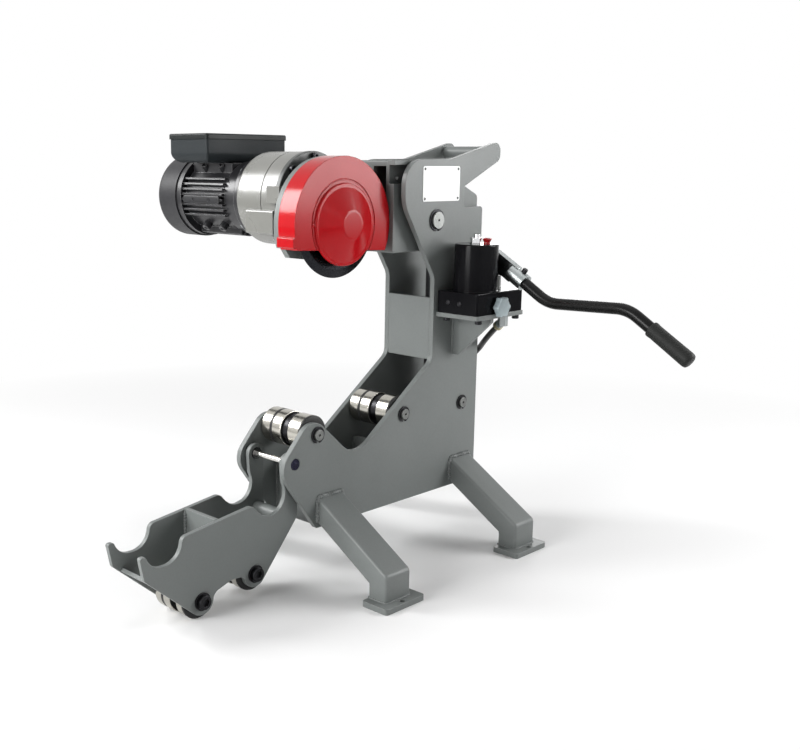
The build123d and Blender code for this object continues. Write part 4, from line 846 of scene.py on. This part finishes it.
def lugShape(look, angle, y):
    # round lug with a blind hole, standing out from the body
    way = np.array([math.cos(math.radians(angle)), 0, math.sin(math.radians(angle))])
    base = np.array([look["axis"][0], y, look["axis"][1]])
    r, hole, top, soft, holeSoft = (look[k] for k in ("radius", "hole", "top", "soft", "holeSoft"))
    rows = [(r + look["flare"], look["core"] - look["sunk"]), (r, top - soft), (r - soft, top),
            (hole + holeSoft, top), (hole, top - holeSoft), (hole, top - look["holeDepth"]),
            (0, top - look["holePoint"])]
    return turned(rows, base, way, look["steps"])


motorLugs = [lugShape(motorLug, angle, y) for angle in motorLug["angles"] for y in motorLug["along"]]
makePiece("motorLugs", motorLugs, motorBlack, "head")

sidePad = {
    "place": (-0.1895, 0.268, 0.6455), "right": (0, -1, 0), "up": (0, 0, 1),
    "halfWide": 0.052, "halfHigh": 0.0068, "corner": 0.003, "leastCorner": 0.00001, "thick": 0.0035,
    "edge": 0.001, "edgeSteps": 5, "topShare": 0.98,
    "holeShadeProfile": ((0.0034, 0.0002), (0.0030, 0.0006), (0.0022, 0.0003), (0, 0.0002)),
    "holeShadeAlong": (0.245, 0.291), "holeShadeSteps": 20,
}


def padShape(look):
    # block raised along right x up: full outline, then a quarter-round edge into the flat top
    right, up = np.array(look["right"], float), np.array(look["up"], float)
    out = np.cross(right, up)
    wide, high, thick, edge = (look[k] for k in ("halfWide", "halfHigh", "thick", "edge"))
    angle = np.linspace(0, np.pi / 2, look["edgeSteps"])
    insets = np.concatenate([[0.0], edge * (1 - np.cos(angle)), [min(wide, high) * look["topShare"]]])
    heights = np.concatenate([[0.0], thick - edge + edge * np.sin(angle), [thick]])
    rings = []
    for inset, height in zip(insets, heights):
        ring = roundedOutline(wide - inset, high - inset, max(look["corner"] - inset, look["leastCorner"]))
        rings.append(np.array(look["place"]) + ring[:, :1] * right + ring[:, 1:] * up + height * out)
    return gridFaces(np.array(rings))


makePiece("motorSidePad", [padShape(sidePad)], motorBlack, "head")
padX, _, padZ = sidePad["place"]
# dark discs on the pad that paint the shade in its two holes
padHoleShades = [
    turned(sidePad["holeShadeProfile"], (padX - sidePad["thick"], y, padZ), (-1, 0, 0), sidePad["holeShadeSteps"])
    for y in sidePad["holeShadeAlong"]
]
makePiece("motorPadHoleShades", padHoleShades, blackOxide, "head")

tieBolt = {
    "reach": 0.0685, "angles": (45, 135, 225, 315), "face": 0.174, "radius": 0.0048, "height": 0.0058,
    "chamfer": 0.0008, "sides": 6, "smoothAngle": 20,
}


def tieBoltShape(look, angle):
    # six-sided head with a chamfered top
    x = motorLug["axis"][0] + look["reach"] * math.cos(math.radians(angle))
    z = motorLug["axis"][1] + look["reach"] * math.sin(math.radians(angle))
    r, height, chamfer = look["radius"], look["height"], look["chamfer"]
    rows = [(r, 0), (r, height - chamfer), (r - chamfer, height), (0, height)]
    return turned(rows, (x, look["face"], z), (0, 1, 0), look["sides"])


tieBolts = [tieBoltShape(tieBolt, angle) for angle in tieBolt["angles"]]
makePiece("motorTieBolts", tieBolts, zincPlate, "head", smooth=tieBolt["smoothAngle"])
print("cutting head finished")


# Bare nameplate on four rivets, in mm

plateRivet = {"across": 94, "up": 52.5, "face": -61, "radius": 2.6, "height": 1.1, "steps": 20}
plateX, _, plateZ = boxInMm("nameplate")[2]
plateRivetRows = domeRows(plateRivet["radius"], plateRivet["height"])
plateRivets = [
    turnedInMm(plateRivetRows, (plateX + sx * plateRivet["across"] / 2, plateRivet["face"],
                                plateZ + sz * plateRivet["up"] / 2), (0, -1, 0), plateRivet["steps"])
    for sx in (-1, 1) for sz in (-1, 1)
]
makePiece("nameplateRivets", plateRivets, blackOxide, "frame")
dress(whiteLacquer, "nameplate")


# Hand pump, in mm

dress(glossBlack, "pump_block", "lever_yoke", "reservoir")
dress(chromePlate, "reservoir_nut")
dress(zincPlate, "lever_socket", "hose_fitting")
dress(leverBlack, "lever_tube")
dress(knobGrey, "release_knob")
dress(ramPaint, "ram_cylinder")

fillerCap = {
    "profile": ((0, 0), (6.2, 0), (6.2, 2.2), (5.6, 2.6), (5.6, 4.4), (6.4, 5.2), (8.3, 9.6), (8.4, 10.6),
                (7.8, 11), (6.6, 11), (6.2, 10.2), (0, 9.8)),
    "steps": 40,
}
capLow, _, capMiddle = boxInMm("filler_cap")
capShape = turnedInMm(fillerCap["profile"], (*capMiddle[:2], capLow[2]), (0, 0, 1), fillerCap["steps"])
makePiece("fillerCap", [capShape], capRed, "frame", ("filler_cap",))

reservoirSeat = {
    "profile": ((-1, 0), (1.4, 0), (1.6, 0.6), (1.4, 1.6), (0.4, 2.4), (-1, 2.6)),  # radii from the wall's
    "steps": 72,
}
tankLow, tankHigh, tankMiddle = boxInMm("reservoir")
seatRows = np.array(reservoirSeat["profile"]) + [(tankHigh[0] - tankLow[0]) / 2, 0]
seatShape = turnedInMm(seatRows, (*tankMiddle[:2], tankLow[2]), (0, 0, 1), reservoirSeat["steps"])
makePiece("reservoirSeat", [seatShape], glossBlack, "frame")

pumpPlug = {
    "places": ((-86, 464), (-112, 463)), "steps": 24,
    "profile": ((4.2, 0), (4.2, 0.6), (3.6, 1.0), (2.4, 1.0), (2.2, 0.4), (0, 0.3)),
}
blockFace = boxInMm("pump_block")[0][0]
pumpPlugs = [turnedInMm(pumpPlug["profile"], (blockFace, y, z), (-1, 0, 0), pumpPlug["steps"])
             for y, z in pumpPlug["places"]]
makePiece("pumpPlugs", pumpPlugs, blackOxide, "frame")


# Lever grip, drawn along the tube's last run, in mm

leverGrip = {
    "start": (199, -391.8, 473.1), "end": (199, -505.5, 400.4), "length": 88, "past": 5, "radius": 14,
    "mouth": (10.7, 0.2), "waist": -0.3, "steps": 48,
    "collar": ((-1.6, 0), (-0.5, 0.6), (0, 2), (0, 6), (-0.5, 9)),  # radii from the full one, from the start
    "dome": ((0, 8), (-0.3, 5), (-1.5, 2), (-4, 0.4)),  # the same, from the end
}


def gripShape(look):
    # rounded sleeve: collar, slight waist, and a soft dome over the end
    start, end = np.array(look["start"]), np.array(look["end"])
    way = (end - start) / np.linalg.norm(end - start)
    length, r = look["length"], look["radius"]
    rows = [look["mouth"]] + [(r + out, along) for out, along in look["collar"]]
    rows += [(r + look["waist"], length / 2)]
    rows += [(r + out, length - back) for out, back in look["dome"]] + [(0, length)]
    return turnedInMm(rows, end + way * (look["past"] - length), way, look["steps"])


makePiece("leverGrip", [gripShape(leverGrip)], gripRubber, "lever", ("lever_grip",))


# Pressure hose: the route's points, in metres, as one smooth line, and the ferrule on its fitting

hoseRoute = {
    "points": ((0.194, -0.140, 0.426), (0.217, -0.090, 0.390), (0.262, -0.030, 0.342), (0.214, 0.010, 0.290)),
    "startIn": 0.0122, "endOut": 0.002, "radius": 0.0055, "length": 0.2132, "roundSteps": 8, "alongSteps": 24,
}
hoseLook = {
    "colour": (0.012, 0.012, 0.012), "shade": (0.020, 0.020, 0.019), "rough": (0.36, 0.5), "bump": 0.12,
    "cloud": 40.0, "skin": 1200.0,
}
hoseFerrule = {
    "profile": ((8.4, 15), (9.3, 15.4), (9.3, 18), (8.6, 18.6), (8.6, 20), (9.3, 20.6), (9.3, 23),
                (8.6, 23.8), (6.2, 24)),  # in mm
    "steps": 40,
}


def hoseFinish(look):
    # plain rubber cover: cloudy tone and a fine skin, with no edges to rub
    material, tree, shader = newFinish("hoseRubber")
    skin = placeSurface(tree, shader, coatingSkin, look, Cloud=look["cloud"], Skin=look["skin"])
    feed(tree, shader.inputs["Base Color"], skin.outputs["Colour"])
    bumpFrom(tree, shader, skin.outputs["Height"], look["bump"], bumpDepth["hose"])
    return material


def makeHose(route, material):
    # a round drawn along the route, from inside the fitting to just short of the port
    points = [Vector(p) for p in route["points"]]
    points[0] = points[0] + (points[1] - points[0]).normalized() * route["startIn"]
    points[-1] = points[-1] + (points[-2] - points[-1]).normalized() * route["endOut"]
    line = bpy.data.curves.new("pressureHose", "CURVE")
    line.dimensions = "3D"
    line.bevel_depth = route["radius"]
    line.bevel_resolution = route["roundSteps"]
    line.resolution_u = route["alongSteps"]
    line.use_fill_caps = True
    spline = line.splines.new("NURBS")
    spline.points.add(len(points) - 1)
    for target, point in zip(spline.points, points):
        target.co = (*point, 1.0)
    spline.use_endpoint_u = True
    spline.order_u = 3
    line.materials.append(material)
    hose = bpy.data.objects.new("pressureHose", line)
    scene.collection.objects.link(hose)
    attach(hose, "frame")
    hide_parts("hydraulic_hose")


makeHose(hoseRoute, hoseFinish(hoseLook))
fittingAt = np.array(hoseRoute["points"][0])
hoseWay = np.array(hoseRoute["points"][1]) - fittingAt
ferruleShape = turned(np.array(hoseFerrule["profile"]) * mm, fittingAt, hoseWay, hoseFerrule["steps"])
makePiece("hoseFerrule", [ferruleShape], ferruleBrass, "frame")
print("hand pump finished")


# Studio: pale floor, white surround and soft lights

studio = {
    "floorColour": (0.86, 0.86, 0.86), "floorRough": 0.9, "floorHalf": 6.0, "fadeBand": (0.9, 1.9),
    "surround": 0.06, "overhead": (1.0, 1.0, 1.0), "overheadBand": (0.0, 0.8), "horizon": (0.86, 0.86, 0.86),
    "below": (0.55, 0.55, 0.55), "belowBand": (-0.3, 0.0), "backdrop": (1.0, 1.0, 1.0),
}


def mixShaders(tree, factor, first, second, endName):
    # one shader into the other by a factor, on to the tree's output
    blend = addNode(tree, "ShaderNodeMixShader")
    for socket, given in zip(blend.inputs, (factor, first, second)):
        feed(tree, socket, given)
    feed(tree, tree.nodes[endName].inputs["Surface"], blend.outputs[0])


def makeFloor(look):
    # pale paper near the object, plain white to the camera further out
    half = look["floorHalf"]
    mesh = bpy.data.meshes.new("studioFloor")
    corners = [(-half, -half, 0), (half, -half, 0), (half, half, 0), (-half, half, 0)]
    mesh.from_pydata(corners, [], [(0, 1, 2, 3)])
    material, tree, shader = newFinish("floorPaper")
    shader.inputs["Base Color"].default_value = rgba(look["floorColour"])
    shader.inputs["Roughness"].default_value = look["floorRough"]
    reach = addNode(tree, "ShaderNodeVectorMath", operation="LENGTH")
    feed(tree, reach.inputs[0], objectPlace(tree))
    away = remap(tree, reach.outputs["Value"], look["fadeBand"])
    seen = addNode(tree, "ShaderNodeLightPath").outputs["Is Camera Ray"]
    white = addNode(tree, "ShaderNodeEmission")
    faded = sums(tree, "MULTIPLY", away, seen)
    mixShaders(tree, faded, shader.outputs[0], white.outputs[0], "Material Output")
    floor = bpy.data.objects.new("studioFloor", mesh)
    mesh.materials.append(material)
    scene.collection.objects.link(floor)


def makeSurround(look):
    # soft grey-white shell for diffuse light, plain white to the camera and in reflections
    world = bpy.data.worlds.new("studioSurround")
    world.use_nodes = True
    tree = world.node_tree
    shell = tree.nodes["Background"]
    split = addNode(tree, "ShaderNodeSeparateXYZ")
    feed(tree, split.inputs[0], addNode(tree, "ShaderNodeTexCoord").outputs["Generated"])
    height = split.outputs["Z"]
    above = remap(tree, height, look["overheadBand"])
    upper = mixColour(tree, above, rgba(look["horizon"]), rgba(look["overhead"]))
    whole = mixColour(tree, remap(tree, height, look["belowBand"]), rgba(look["below"]), upper)
    feed(tree, shell.inputs["Color"], whole)
    shell.inputs["Strength"].default_value = look["surround"]
    white = addNode(tree, "ShaderNodeBackground")
    white.inputs["Color"].default_value = rgba(look["backdrop"])
    path = addNode(tree, "ShaderNodeLightPath").outputs
    seen = sums(tree, "MAXIMUM", path["Is Camera Ray"], path["Is Transmission Ray"])
    seen = sums(tree, "MAXIMUM", seen, path["Is Glossy Ray"])
    mixShaders(tree, seen, shell.outputs[0], white.outputs[0], "World Output")
    scene.world = world


softLights = {
    "leftWindow": {"place": (-1.6, 2.0, 1.8), "aim": (-0.2, 0.0, 0.6), "size": (0.8, 1.2), "power": 62},
    "leftBox": {"place": (-2.7, 0.3, 0.95), "aim": (0.0, 0.0, 0.35), "size": (1.3, 1.3), "power": 72},
    "keyWindow": {"place": (1.5, -1.55, 1.12), "aim": (0.0, 0.0, 0.5), "size": (1.2, 1.2), "power": 43},
    "frontBox": {"place": (-0.6, -2.6, 2.0), "aim": (0.0, 0.0, 0.4), "size": (1.4, 1.0), "power": 7},
    "overBox": {"place": (0.1, 0.3, 2.7), "aim": (0.0, 0.0, 0.3), "size": (1.8, 1.8), "power": 9},
    "rearBox": {"place": (2.3, 1.2, 1.4), "aim": (0.0, 0.0, 0.4), "size": (0.8, 1.4), "power": 18},
}


def makeLight(name, look):
    # soft rectangle that faces its aim, unseen by the camera
    lamp = bpy.data.lights.new(name, "AREA")
    lamp.shape = "RECTANGLE"
    lamp.size, lamp.size_y = look["size"]
    lamp.energy = look["power"]
    box = bpy.data.objects.new(name, lamp)
    way = Vector(look["aim"]) - Vector(look["place"])
    box.matrix_world = Matrix.Translation(look["place"]) @ way.to_track_quat("-Z", "Y").to_matrix().to_4x4()
    box.visible_camera = False
    scene.collection.objects.link(box)


makeFloor(studio)
makeSurround(studio)
for lightName, lightLook in softLights.items():
    makeLight(lightName, lightLook)
print("studio lit")
